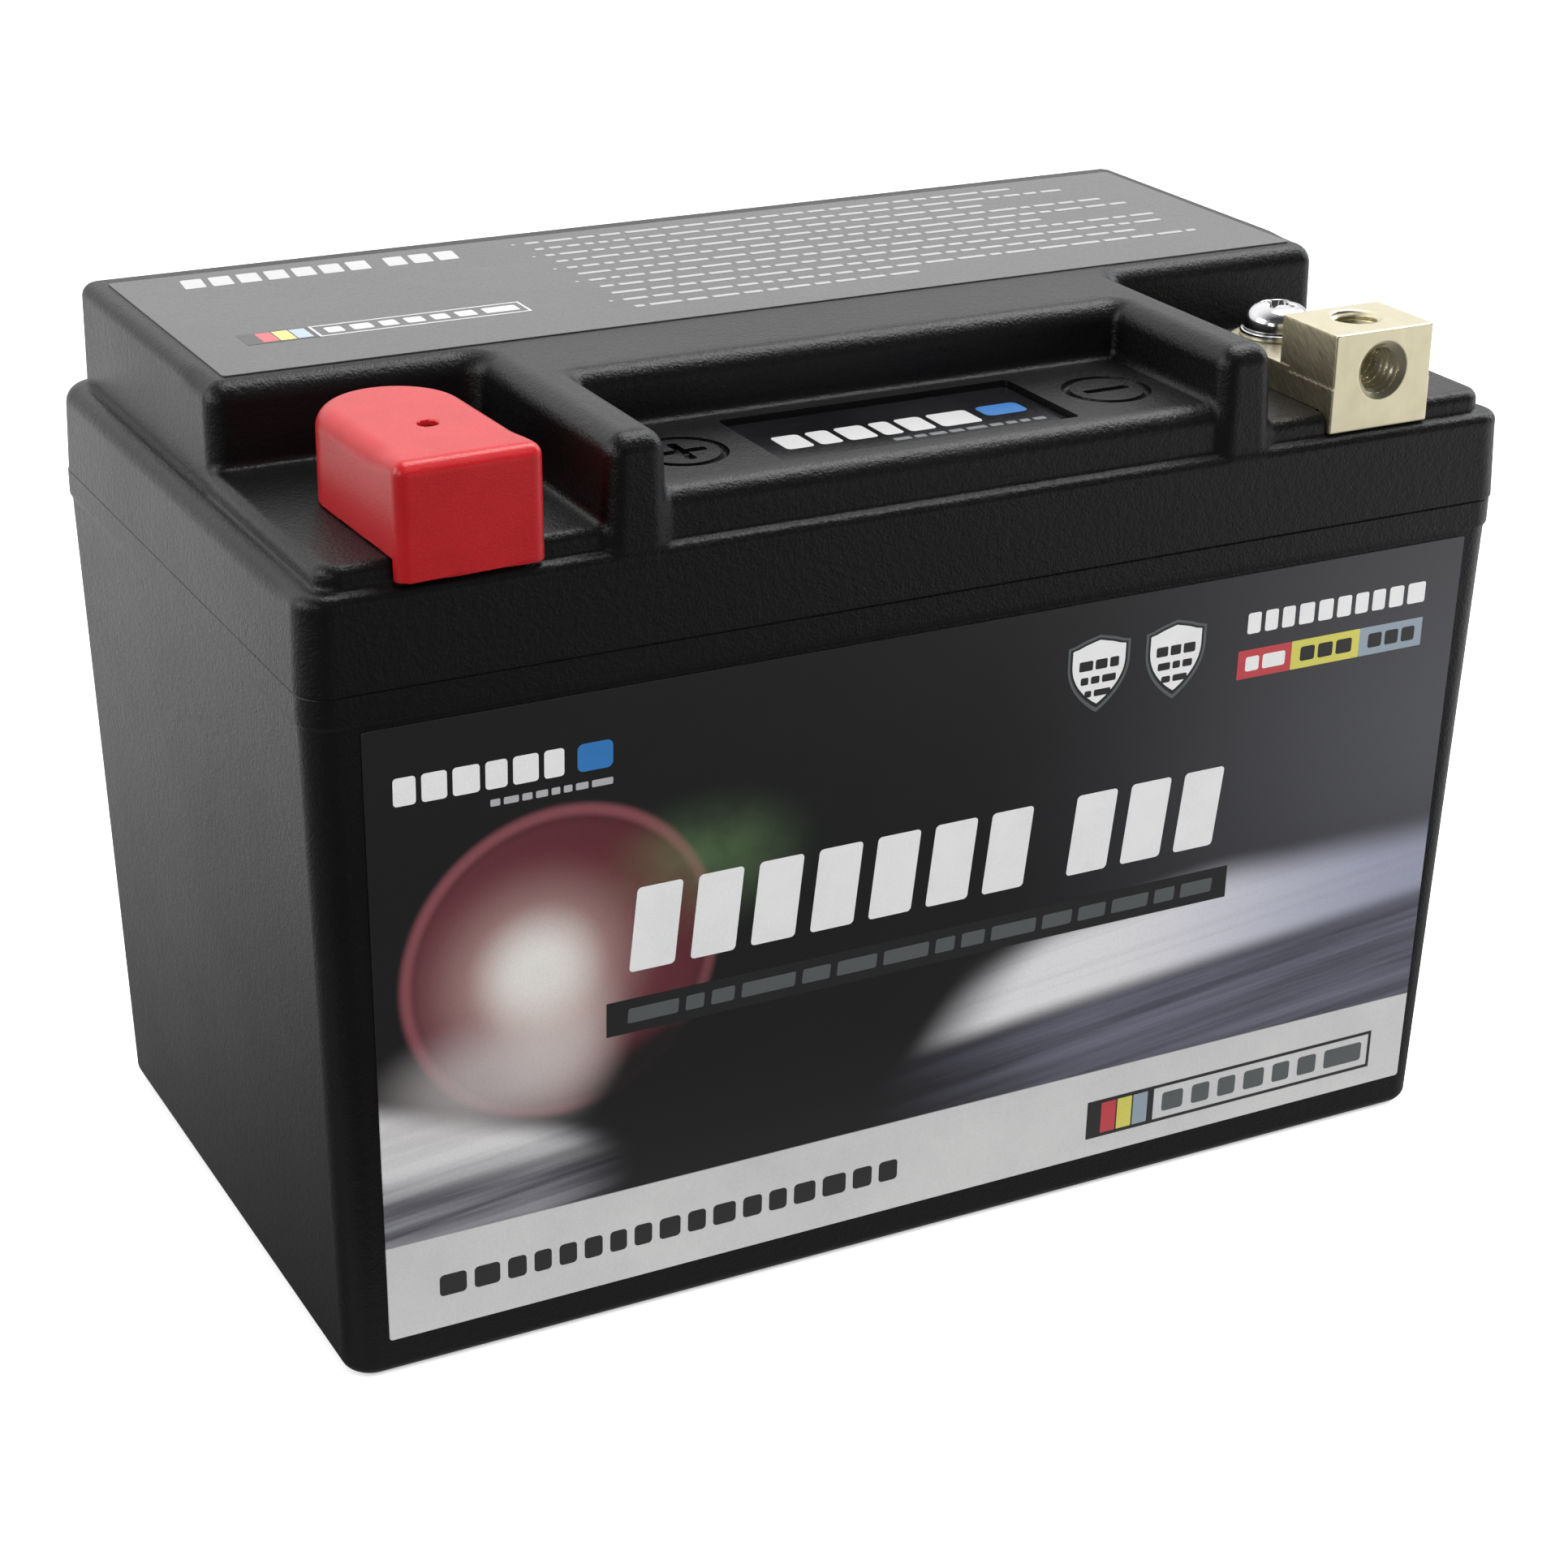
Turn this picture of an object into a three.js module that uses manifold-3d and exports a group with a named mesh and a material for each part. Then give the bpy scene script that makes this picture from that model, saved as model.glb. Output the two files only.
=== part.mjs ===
// Lithium motorcycle starter battery, 150 x 87 x 105 mm class.
//
// A drafted plastic case with a welded lid.  The lid carries a raised box along
// the back, two walls that separate the terminal bays from a lower centre deck,
// and a raised pad in each bay.  A brass terminal block is screwed down to each
// pad; the positive one (left) is covered by a lift-off red cap.  Inside are
// twelve 26650 cells in three rows (four groups in series, three in parallel),
// two cell holders, nickel links, the battery management board and the straps.
//
// Millimetres, +Z up, +X along the length to the negative terminal, label
// side towards -Y.  The origin is the middle of the underside.

import * as THREE from 'three';
import { mergeVertices } from 'three/addons/utils/BufferGeometryUtils.js';
import Module from 'manifold-3d';

const wasm = await Module();
wasm.setup();

// ---------------------------------------------------------------- dimensions

const LENGTH = 150;            // over the lid rim
const WIDTH = 87;              // over the lid rim
const TOP_Z = 105;             // top of the raised box
const SEAM_Z = 82.2;           // case / lid weld line
const RIM_Z = 92.8;            // lid rim ledge
const WALL = 2.5;

// case: outer half sizes at the foot, under the collar and at the collar
const CASE_FOOT = [72.6, 41.1];
const CASE_NECK = [74.62, 43.12];
const CASE_COLLAR = [74.88, 43.38];
const NECK_Z = 78.2;
const COLLAR_Z = 79.2;
const CASE_R = 3.4;            // vertical corner radius
const FOOT_R = 1.4;            // fillet round the underside
const FLOOR = 3;

// lid rim
const RIM_R = 3.4;
const RIM_R_BACK = 4.6;
const RIM_EDGE = 2.2;
const RIM_TAPER = 0.24;         // the rim wall leans in this much below its edge
const LIP_DROP = 3;            // locating lip inside the case

// raised box at the back of the lid
const BOX_X = 72.1;
const BOX_Y0 = -8.0;
const BOX_Y1 = 40.9;
const BOX_EDGE = 1.6;
const BOX_R = 2.2;

// centre block and the two bay walls
const CENTRE_Y = -19.9;        // front of the centre block
const BAY_WALL_IN = 34.7;
const BAY_WALL_OUT = 40.2;
const BAY_WALL_Y = -43.05;

// centre deck with its label recess
const DECK_Z = 98.3;
const DECK_Y = -42.1;
const RECESS = [-18.9, 18.1, -38.4, -22.6];
const RECESS_Z = 97.3;
const SIGN_X = [-27.2, 26.4];  // engraved polarity rings
const SIGN_Y = -30.8;
const SIGN_R = 4.95;
const SIGN_DEPTH = 0.6;

// terminal pads
const PAD_Z = 95.4;
const PAD_X0 = 40.9;
const PAD_X1 = 72.2;
const PAD_Y0 = -42.0;

// terminals
const TERM_X = { neg: 56.3, pos: -56.8 };
const BLOCK_W = 13.6;
const BLOCK_Y0 = -42.5;
const BLOCK_Y1 = -32.0;
const BLOCK_Z0 = 93.05;        // foot of the front lip
const BLOCK_Z1 = 104.7;
const TONGUE_Z = 99.05;
const STEP_Z = 98.3;
const SCREW_Y = -22.2;
const SCREW_DX = -0.35;         // screw sits off centre in its clearance hole
const BOLT_HOLE_Z = 99.9;      // front tapped hole
const BOLT_HOLE_Y = -36.5;     // top tapped hole
const BOLT_R = 2.9;
const BOLT_SINK = 3.45;
const BOLT_SINK_TOP = 3.1;

// cap
const CAP_X = -56.75;
const CAP_R = 8.2;
const CAP_Y0 = -43.6;
const CAP_YC = -24.1;          // centre of the round back end
const CAP_Z0 = 95.5;
const CAP_SKIRT_Z = 93.2;
const CAP_Z1 = 105.7;
const CAP_WALL = 0.75;
const CAP_TURN = 2;            // degrees: the loose cap sits slightly skew on its block

// cells
const CELL_R = 13;
const CELL_L = 65;
const CELL_Z = 6.5;
const CELL_DX = 27.2;
const CELL_DY = 23.2;

// ----------------------------------------------------------------- materials

const mat = (hex, roughness, metalness = 0) =>
  new THREE.MeshStandardMaterial({ color: hex, roughness, metalness });

const BLACK = [0x17171a, 0.62];
const LABEL = [0x2b2c33, 0.35];
const RED = [0xd8202c, 0.38];
const BRASS = [0xb9b083, 0.34, 1];
const STEEL = [0xc4c6c8, 0.22, 1];
const NICKEL = [0xb4b6b2, 0.3, 1];
const COPPER = [0xb8754a, 0.35, 1];
const SLEEVE = [0x2f6d9c, 0.4];
const HOLDER = [0x22242a, 0.55];
const FOAM = [0x3a3b3e, 0.95];
const BOARD = [0x1f5a34, 0.45];
const CHIP = [0x141416, 0.5];
const WHITE = [0xdcd8cc, 0.5];
const ALU = [0xb8bcc0, 0.35, 1];

// ------------------------------------------------------------ solid handling

function toManifold(geometry) {
  const g = geometry.clone();
  g.deleteAttribute('normal');
  g.deleteAttribute('uv');
  const merged = mergeVertices(g, 1e-5);
  return new wasm.Manifold(new wasm.Mesh({
    numProp: 3,
    vertProperties: new Float32Array(merged.attributes.position.array),
    triVerts: new Uint32Array(merged.index.array),
  }));
}

function toGeometry(solid) {
  const m = solid.getMesh();
  const pos = new Float32Array(m.numVert * 3);
  for (let i = 0; i < m.numVert; i++) {
    for (let k = 0; k < 3; k++) pos[3 * i + k] = m.vertProperties[m.numProp * i + k];
  }
  const g = new THREE.BufferGeometry();
  g.setAttribute('position', new THREE.BufferAttribute(pos, 3));
  g.setIndex(new THREE.BufferAttribute(new Uint32Array(m.triVerts), 1));
  const flat = g.toNonIndexed();
  flat.computeVertexNormals();
  return flat;
}

const union = (...s) => s.reduce((a, b) => a.add(b));
const cut = (a, ...s) => s.reduce((x, b) => x.subtract(b), a);

// Closed solid through a stack of convex rings with the same point count.
function loft(rings, fromCorner = false) {
  const n = rings[0].length;
  const pos = [];
  const push = (...p) => p.forEach((q) => pos.push(q[0], q[1], q[2]));
  const middle = (r) => r.reduce((a, p) => [a[0] + p[0] / n, a[1] + p[1] / n, a[2] + p[2] / n], [0, 0, 0]);
  for (let k = 0; k + 1 < rings.length; k++) {
    const a = rings[k];
    const b = rings[k + 1];
    for (let i = 0; i < n; i++) {
      const j = (i + 1) % n;
      push(a[i], a[j], b[j]);
      push(a[i], b[j], b[i]);
    }
  }
  const lo = rings[0];
  const hi = rings[rings.length - 1];
  const ml = fromCorner ? lo[0] : middle(lo);
  const mh = fromCorner ? hi[0] : middle(hi);
  for (let i = 0; i < n; i++) {
    const j = (i + 1) % n;
    if (fromCorner && (i === 0 || j === 0)) continue;
    push(ml, lo[j], lo[i]);
    push(mh, hi[i], hi[j]);
  }
  const g = new THREE.BufferGeometry();
  g.setAttribute('position', new THREE.BufferAttribute(new Float32Array(pos), 3));
  return g;
}

// Rounded rectangle ring; radii for the corners (+x+y, -x+y, -x-y, +x-y).
function rectRing(x0, x1, y0, y1, radius, z, seg = 5) {
  const r = Array.isArray(radius) ? radius : [radius, radius, radius, radius];
  const c = [[x1, y1, -1, -1, 0], [x0, y1, 1, -1, 90], [x0, y0, 1, 1, 180], [x1, y0, -1, 1, 270]];
  const out = [];
  c.forEach(([x, y, sx, sy, a0], i) => {
    const q = Math.max(r[i], 0.02);
    for (let k = 0; k <= seg; k++) {
      const a = ((a0 + (90 * k) / seg) * Math.PI) / 180;
      out.push([x + sx * q + q * Math.cos(a), y + sy * q + q * Math.sin(a), z]);
    }
  });
  return out;
}

// Upright rounded block with optional draft and rounded top / bottom edges.
function block(x0, x1, y0, y1, z0, z1, { r = 0.5, top = 0, bottom = 0, draft = 0, seg = 4, steps = 3 } = {}) {
  const rings = [];
  const rr = Array.isArray(r) ? r : [r, r, r, r];
  const at = (z, inset) => {
    const d = inset + draft * (z - z0);
    rings.push(rectRing(x0 + d, x1 - d, y0 + d, y1 - d, rr.map((q) => q - inset), z, seg));
  };
  if (bottom > 0) {
    for (let k = 0; k <= steps; k++) {
      const a = (Math.PI / 2) * (k / steps);
      at(z0 + bottom * (1 - Math.sin(a)), 0);
      rings.pop();
    }
    for (let k = 0; k < steps; k++) {
      const a = (Math.PI / 2) * (k / steps);
      at(z0 + bottom * (1 - Math.cos(a)), bottom * (1 - Math.sin(a)));
    }
    at(z0 + bottom, 0);
  } else at(z0, 0);
  if (top > 0) {
    at(z1 - top, 0);
    for (let k = 1; k <= steps; k++) {
      const a = (Math.PI / 2) * (k / steps);
      at(z1 - top + top * Math.sin(a), top * (1 - Math.cos(a)));
    }
  } else at(z1, 0);
  return toManifold(loft(rings));
}

function box(x0, x1, y0, y1, z0, z1) {
  const g = new THREE.BoxGeometry(x1 - x0, y1 - y0, z1 - z0);
  g.translate((x0 + x1) / 2, (y0 + y1) / 2, (z0 + z1) / 2);
  return toManifold(g);
}

// Turned piece about Z from [radius, z] points.
function turned(points, x = 0, y = 0, seg = 24) {
  const g = new THREE.LatheGeometry(points.map((p) => new THREE.Vector2(p[0], p[1])), seg);
  g.rotateX(Math.PI / 2);
  g.translate(x, y, 0);
  return toManifold(g);
}

function plate(outline, holes, z0, z1, curveSegments = 12) {
  const s = new THREE.Shape(outline.map((p) => new THREE.Vector2(p[0], p[1])));
  for (const h of holes) {
    const c = new THREE.Path();
    c.absarc(h[0], h[1], h[2], 0, Math.PI * 2, true);
    s.holes.push(c);
  }
  const g = new THREE.ExtrudeGeometry(s, { depth: z1 - z0, bevelEnabled: false, curveSegments });
  g.translate(0, 0, z0);
  return toManifold(g);
}

// Strip of constant width along X bent in the YZ plane (outline in Y, Z).
function strip(x0, x1, outline) {
  const s = new THREE.Shape(outline.map((p) => new THREE.Vector2(p[0], p[1])));
  const g = new THREE.ExtrudeGeometry(s, { depth: x1 - x0, bevelEnabled: false });
  g.applyMatrix4(new THREE.Matrix4().makeBasis(
    new THREE.Vector3(0, 1, 0), new THREE.Vector3(0, 0, 1), new THREE.Vector3(1, 0, 0)));
  g.translate(x0, 0, 0);
  return toManifold(g);
}

const battery = new THREE.Group();

function add(name, solid, look) {
  const geometry = toGeometry(solid);
  geometry.computeBoundingBox();
  const c = geometry.boundingBox.getCenter(new THREE.Vector3());
  c.set(Math.round(c.x * 4) / 4, Math.round(c.y * 4) / 4, Math.round(c.z * 4) / 4);
  geometry.translate(-c.x, -c.y, -c.z);
  const mesh = new THREE.Mesh(geometry, mat(...look));
  mesh.name = name;
  mesh.position.copy(c);
  battery.add(mesh);
  return mesh;
}

// ---------------------------------------------------------------------- case

function caseRing(half, z, r, inset = 0) {
  const [hx, hy] = [half[0] - inset, half[1] - inset];
  return rectRing(-hx, hx, -hy, hy, r, z, 6);
}
// Half size of the drafted wall at a height below the neck.
function draftAt(z) {
  const t = z / NECK_Z;
  return [0, 1].map((i) => CASE_FOOT[i] + (CASE_NECK[i] - CASE_FOOT[i]) * t);
}

{
  const rings = [];
  for (let k = 0; k < 3; k++) {
    const a = (Math.PI / 2) * (k / 3);
    const z = FOOT_R * (1 - Math.cos(a));
    rings.push(caseRing(draftAt(z), z, CASE_R - 0.9 * FOOT_R * (1 - Math.sin(a)), FOOT_R * (1 - Math.sin(a))));
  }
  rings.push(caseRing(draftAt(FOOT_R), FOOT_R, CASE_R));
  rings.push(caseRing(CASE_NECK, NECK_Z, CASE_R));
  rings.push(caseRing(CASE_COLLAR, COLLAR_Z, CASE_R));
  rings.push(caseRing(CASE_COLLAR, SEAM_Z - 0.35, CASE_R));
  rings.push(caseRing(CASE_COLLAR, SEAM_Z, CASE_R - 0.35, 0.35));
  const outer = toManifold(loft(rings));
  const inner = toManifold(loft([
    caseRing(draftAt(FLOOR), FLOOR, 1.6, WALL - 0.1),
    caseRing(CASE_NECK, NECK_Z, 1.6, WALL - 0.1),
    caseRing(CASE_NECK, SEAM_Z + 1, 1.6, WALL - 0.1),
  ]));
  add('case_tub', cut(outer, inner), BLACK);
}

// ----------------------------------------------------------------------- lid

{
  const hx = LENGTH / 2;
  const hy = WIDTH / 2;
  // rim skirt with its rounded upper edge and a small break at the seam
  const rim = [];
  const corners = (d) => [RIM_R_BACK - d, RIM_R_BACK - d, RIM_R - d, RIM_R - d];
  rim.push(rectRing(-hx + 0.35, hx - 0.35, -hy + 0.35, hy - 0.35, corners(0.35), SEAM_Z, 6));
  rim.push(rectRing(-hx, hx, -hy, hy, corners(0), SEAM_Z + 0.35, 6));
  for (let k = 0; k <= 4; k++) {
    const a = (Math.PI / 2) * (k / 4);
    const d = RIM_TAPER + RIM_EDGE * (1 - Math.cos(a));
    rim.push(rectRing(-hx + d, hx - d, -hy + d, hy - d, corners(d), RIM_Z - RIM_EDGE + RIM_EDGE * Math.sin(a), 6));
  }
  let lid = toManifold(loft(rim));

  // raised box, centre block and bay walls
  lid = lid.add(block(-BOX_X, BOX_X, BOX_Y0, BOX_Y1, 90, TOP_Z, { r: BOX_R, top: BOX_EDGE, draft: 0.012, seg: 4, steps: 4 }));
  const low = 90;
  const d = 0.05;                                  // draft of the bay walls
  const rise = TOP_Z - low;
  for (const s of [-1, 1]) {
    const outFoot = BAY_WALL_OUT + d * rise;
    const x = s > 0 ? [BAY_WALL_IN - 0.02 * rise, outFoot] : [-outFoot, -BAY_WALL_IN + 0.02 * rise];
    const e = BOX_EDGE;
    const rings = [];
    const ring = (z, inset) => {
      const t = (z - low) / rise;
      const xi = s * (BAY_WALL_IN - 0.02 * rise * (1 - t) + inset);
      const xo = s * (BAY_WALL_OUT + d * rise * (1 - t) - inset);
      const y0 = BAY_WALL_Y + 0.02 * (z - low) + inset;
      const q = 1.5 - inset * 0.9;
      rings.push(rectRing(Math.min(xi, xo), Math.max(xi, xo), y0, BOX_Y0 + 6, [0, 0, q, q], z, 4));
    };
    ring(low, 0);
    ring(TOP_Z - e, 0);
    for (let k = 1; k <= 4; k++) {
      const a = (Math.PI / 2) * (k / 4);
      ring(TOP_Z - e + e * Math.sin(a), e * (1 - Math.cos(a)));
    }
    lid = lid.add(toManifold(loft(rings)));
  }
  {
    const rings = [];
    const ring = (z, inset) => rings.push(rectRing(-BAY_WALL_IN - 2.5, BAY_WALL_IN + 2.5,
      CENTRE_Y - 0.03 * (TOP_Z - z) + inset, BOX_Y0 + 6, 0, z, 1));
    ring(low, 0);
    ring(TOP_Z - BOX_EDGE, 0);
    for (let k = 1; k <= 4; k++) {
      const a = (Math.PI / 2) * (k / 4);
      ring(TOP_Z - BOX_EDGE + BOX_EDGE * Math.sin(a), BOX_EDGE * (1 - Math.cos(a)));
    }
    lid = lid.add(toManifold(loft(rings)));
  }

  // fillets where the bay walls run into the raised box
  for (const s of [-1, 1]) {
    const rings = [];
    const ring = (z, r) => {
      const cx = BAY_WALL_OUT + d * (TOP_Z - z) - 0.05;
      const cy = BOX_Y0 + 0.012 * (z - low) + 0.05;
      const pts = [[cx - 1, cy + 1], [cx - 1, cy - r], [cx, cy - r]];
      for (let k = 1; k < 6; k++) {
        const a = (Math.PI / 2) * (k / 6);
        pts.push([cx + r - r * Math.cos(a), cy - r + r * Math.sin(a)]);
      }
      pts.push([cx + r, cy], [cx + r, cy + 1]);
      const out = pts.map(([x, y]) => [s * x, y, z]);
      rings.push(s > 0 ? [out[0], ...out.slice(1)] : [out[0], ...out.slice(1).reverse()]);
    };
    ring(low + 1, 2.4);
    ring(TOP_Z - BOX_EDGE, 2.4);
    for (let k = 1; k <= 4; k++) {
      const a = (Math.PI / 2) * (k / 4);
      ring(TOP_Z - BOX_EDGE + BOX_EDGE * Math.sin(a) * 0.999, 2.4 + BOX_EDGE * (1 - Math.cos(a)));
    }
    lid = lid.add(toManifold(loft(rings, true)));
  }

  // centre deck with a rolled front edge
  {
    const rings = [];
    const ring = (z, inset) => rings.push(rectRing(-BAY_WALL_IN - 1, BAY_WALL_IN + 1, DECK_Y + 0.02 * (z - low) + inset, CENTRE_Y + 3, 0, z, 1));
    ring(low, 0);
    ring(DECK_Z - 1.5, 0);
    for (let k = 1; k <= 4; k++) {
      const a = (Math.PI / 2) * (k / 4);
      ring(DECK_Z - 1.5 + 1.5 * Math.sin(a), 1.5 * (1 - Math.cos(a)));
    }
    lid = lid.add(toManifold(loft(rings)));
  }

  // terminal pads
  for (const s of [-1, 1]) {
    const x0 = s > 0 ? PAD_X0 - 1.5 : -PAD_X1;
    const x1 = s > 0 ? PAD_X1 : -PAD_X0 + 1.5;
    const r = s > 0 ? [0, 0, 0, 2.6] : [0, 0, 2.6, 0];
    lid = lid.add(block(x0, x1, PAD_Y0, BOX_Y0 + 3, 90, PAD_Z, { r, top: 0.8, seg: 4, steps: 3 }));
  }

  // hollow underside
  const t = WALL;
  const LIP_OUT = CASE_NECK.map((h) => h - WALL - 0.15);
  const LIP_IN = CASE_NECK.map((h) => h - WALL - 1.75);
  const hollow = union(
    block(-hx + t, hx - t, -hy + t, hy - t, SEAM_Z + 2.2, RIM_Z - 2.3, { r: 1.5, seg: 3 }),
    block(-LIP_IN[0], LIP_IN[0], -LIP_IN[1], LIP_IN[1], SEAM_Z - 1, SEAM_Z + 3, { r: 0.8, seg: 3 }),
    block(-BOX_X + t, BOX_X - t, BOX_Y0 + t, BOX_Y1 - t, RIM_Z - 4, TOP_Z - t, { r: 0.8, seg: 2 }),
    box(-BAY_WALL_IN + t, BAY_WALL_IN - t, CENTRE_Y + t, BOX_Y0 + t + 2, RIM_Z - 4, TOP_Z - t),
    box(-BAY_WALL_IN + t, BAY_WALL_IN - t, DECK_Y + t, CENTRE_Y + t + 1, RIM_Z - 4, RECESS_Z - 1.9),
    box(-PAD_X1 + t, -PAD_X0 - 0.4, PAD_Y0 + t, BOX_Y0 + t + 1, RIM_Z - 4, PAD_Z - 2.4),
    box(PAD_X0 + 0.4, PAD_X1 - t, PAD_Y0 + t, BOX_Y0 + t + 1, RIM_Z - 4, PAD_Z - 2.4),
    // coring slots up the bay walls
    box(BAY_WALL_IN + 1.6, BAY_WALL_OUT - 1.6, BAY_WALL_Y + 2.4, CENTRE_Y - 2, RIM_Z - 4, TOP_Z - 2.4),
    box(-BAY_WALL_OUT + 1.6, -BAY_WALL_IN - 1.6, BAY_WALL_Y + 2.4, CENTRE_Y - 2, RIM_Z - 4, TOP_Z - 2.4),
  );
  lid = lid.subtract(hollow);

  // bosses round the terminal inserts
  for (const s of [-1, 1]) {
    lid = lid.add(turned([[0, 88.4], [7.2, 88.4], [7.2, PAD_Z - 1], [0, PAD_Z - 1]], TERM_X[s > 0 ? 'neg' : 'pos'], SCREW_Y, 28));
  }

  // locating lip inside the case
  const lip = cut(
    block(-LIP_OUT[0], LIP_OUT[0], -LIP_OUT[1], LIP_OUT[1], SEAM_Z - LIP_DROP, SEAM_Z + 0.6, { r: 1.4, seg: 3 }),
    block(-LIP_IN[0], LIP_IN[0], -LIP_IN[1], LIP_IN[1], SEAM_Z - LIP_DROP - 1, SEAM_Z + 4, { r: 0.8, seg: 3 }),
  );
  lid = lid.add(lip);

  // bore of each insert and a notch in each pad for the block's front lip
  for (const s of [-1, 1]) {
    const tx = TERM_X[s > 0 ? 'neg' : 'pos'];
    lid = lid.subtract(turned([[0, 87], [5, 87], [5, PAD_Z + 1], [0, PAD_Z + 1]], tx + SCREW_DX, SCREW_Y, 24));
    const w = BLOCK_W / 2 + 0.35;
    lid = lid.subtract(box(tx - w, tx + w, BAY_WALL_Y - 1, BLOCK_Y0 + 2.7, BLOCK_Z0 - 0.15, PAD_Z + 1));
  }

  // label recess and engraved polarity rings
  lid = lid.subtract(box(RECESS[0], RECESS[1], RECESS[2], RECESS[3], RECESS_Z, DECK_Z + 1));
  const z0 = DECK_Z - SIGN_DEPTH;
  const z1 = DECK_Z + 1;
  for (const s of [-1, 1]) {
    const cx = SIGN_X[s < 0 ? 0 : 1];
    lid = lid.subtract(turned([[SIGN_R - 0.55, z0], [SIGN_R + 0.1, z0], [SIGN_R + 0.1, z1], [SIGN_R - 0.55, z1], [SIGN_R - 0.55, z0]], cx, SIGN_Y, 40));
    lid = lid.subtract(box(cx - 2.9, cx + 2.9, SIGN_Y - 0.38, SIGN_Y + 0.38, z0, z1));
    if (s < 0) lid = lid.subtract(box(cx - 0.38, cx + 0.38, SIGN_Y - 2.9, SIGN_Y + 2.9, z0, z1));
  }
  add('lid', lid, BLACK);
}

// -------------------------------------------------------------------- labels

{
  // front label: a thin film on the drafted front wall, tapering downwards
  const slope = (CASE_NECK[1] - CASE_FOOT[1]) / NECK_Z;
  const y = (z) => -(CASE_FOOT[1] + slope * z);
  const z0 = 4.5;
  const z1 = 78.0;
  const t = 0.16;
  const g0 = 0.02;
  const ring = (z, hx0, hx1) => [[hx0, y(z) - g0, z], [hx0, y(z) - g0 - t, z], [hx1, y(z) - g0 - t, z], [hx1, y(z) - g0, z]];
  const a = ring(z0, -68.2, 69.4);
  const b = ring(z1, -69.1, 70.1);
  add('label_front', toManifold(loft([a, b])), LABEL);
}
add('label_top', block(-69.3, 69.3, -5.4, 36.9, TOP_Z, TOP_Z + 0.15, { r: 0.6, seg: 2 }), LABEL);
add('label_deck', block(RECESS[0] + 0.15, RECESS[1] - 0.15, RECESS[2] + 0.15, RECESS[3] - 0.15, RECESS_Z, RECESS_Z + 0.25, { r: 0.4, seg: 2 }), CHIP);

// ----------------------------------------------------------------- terminals

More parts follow.
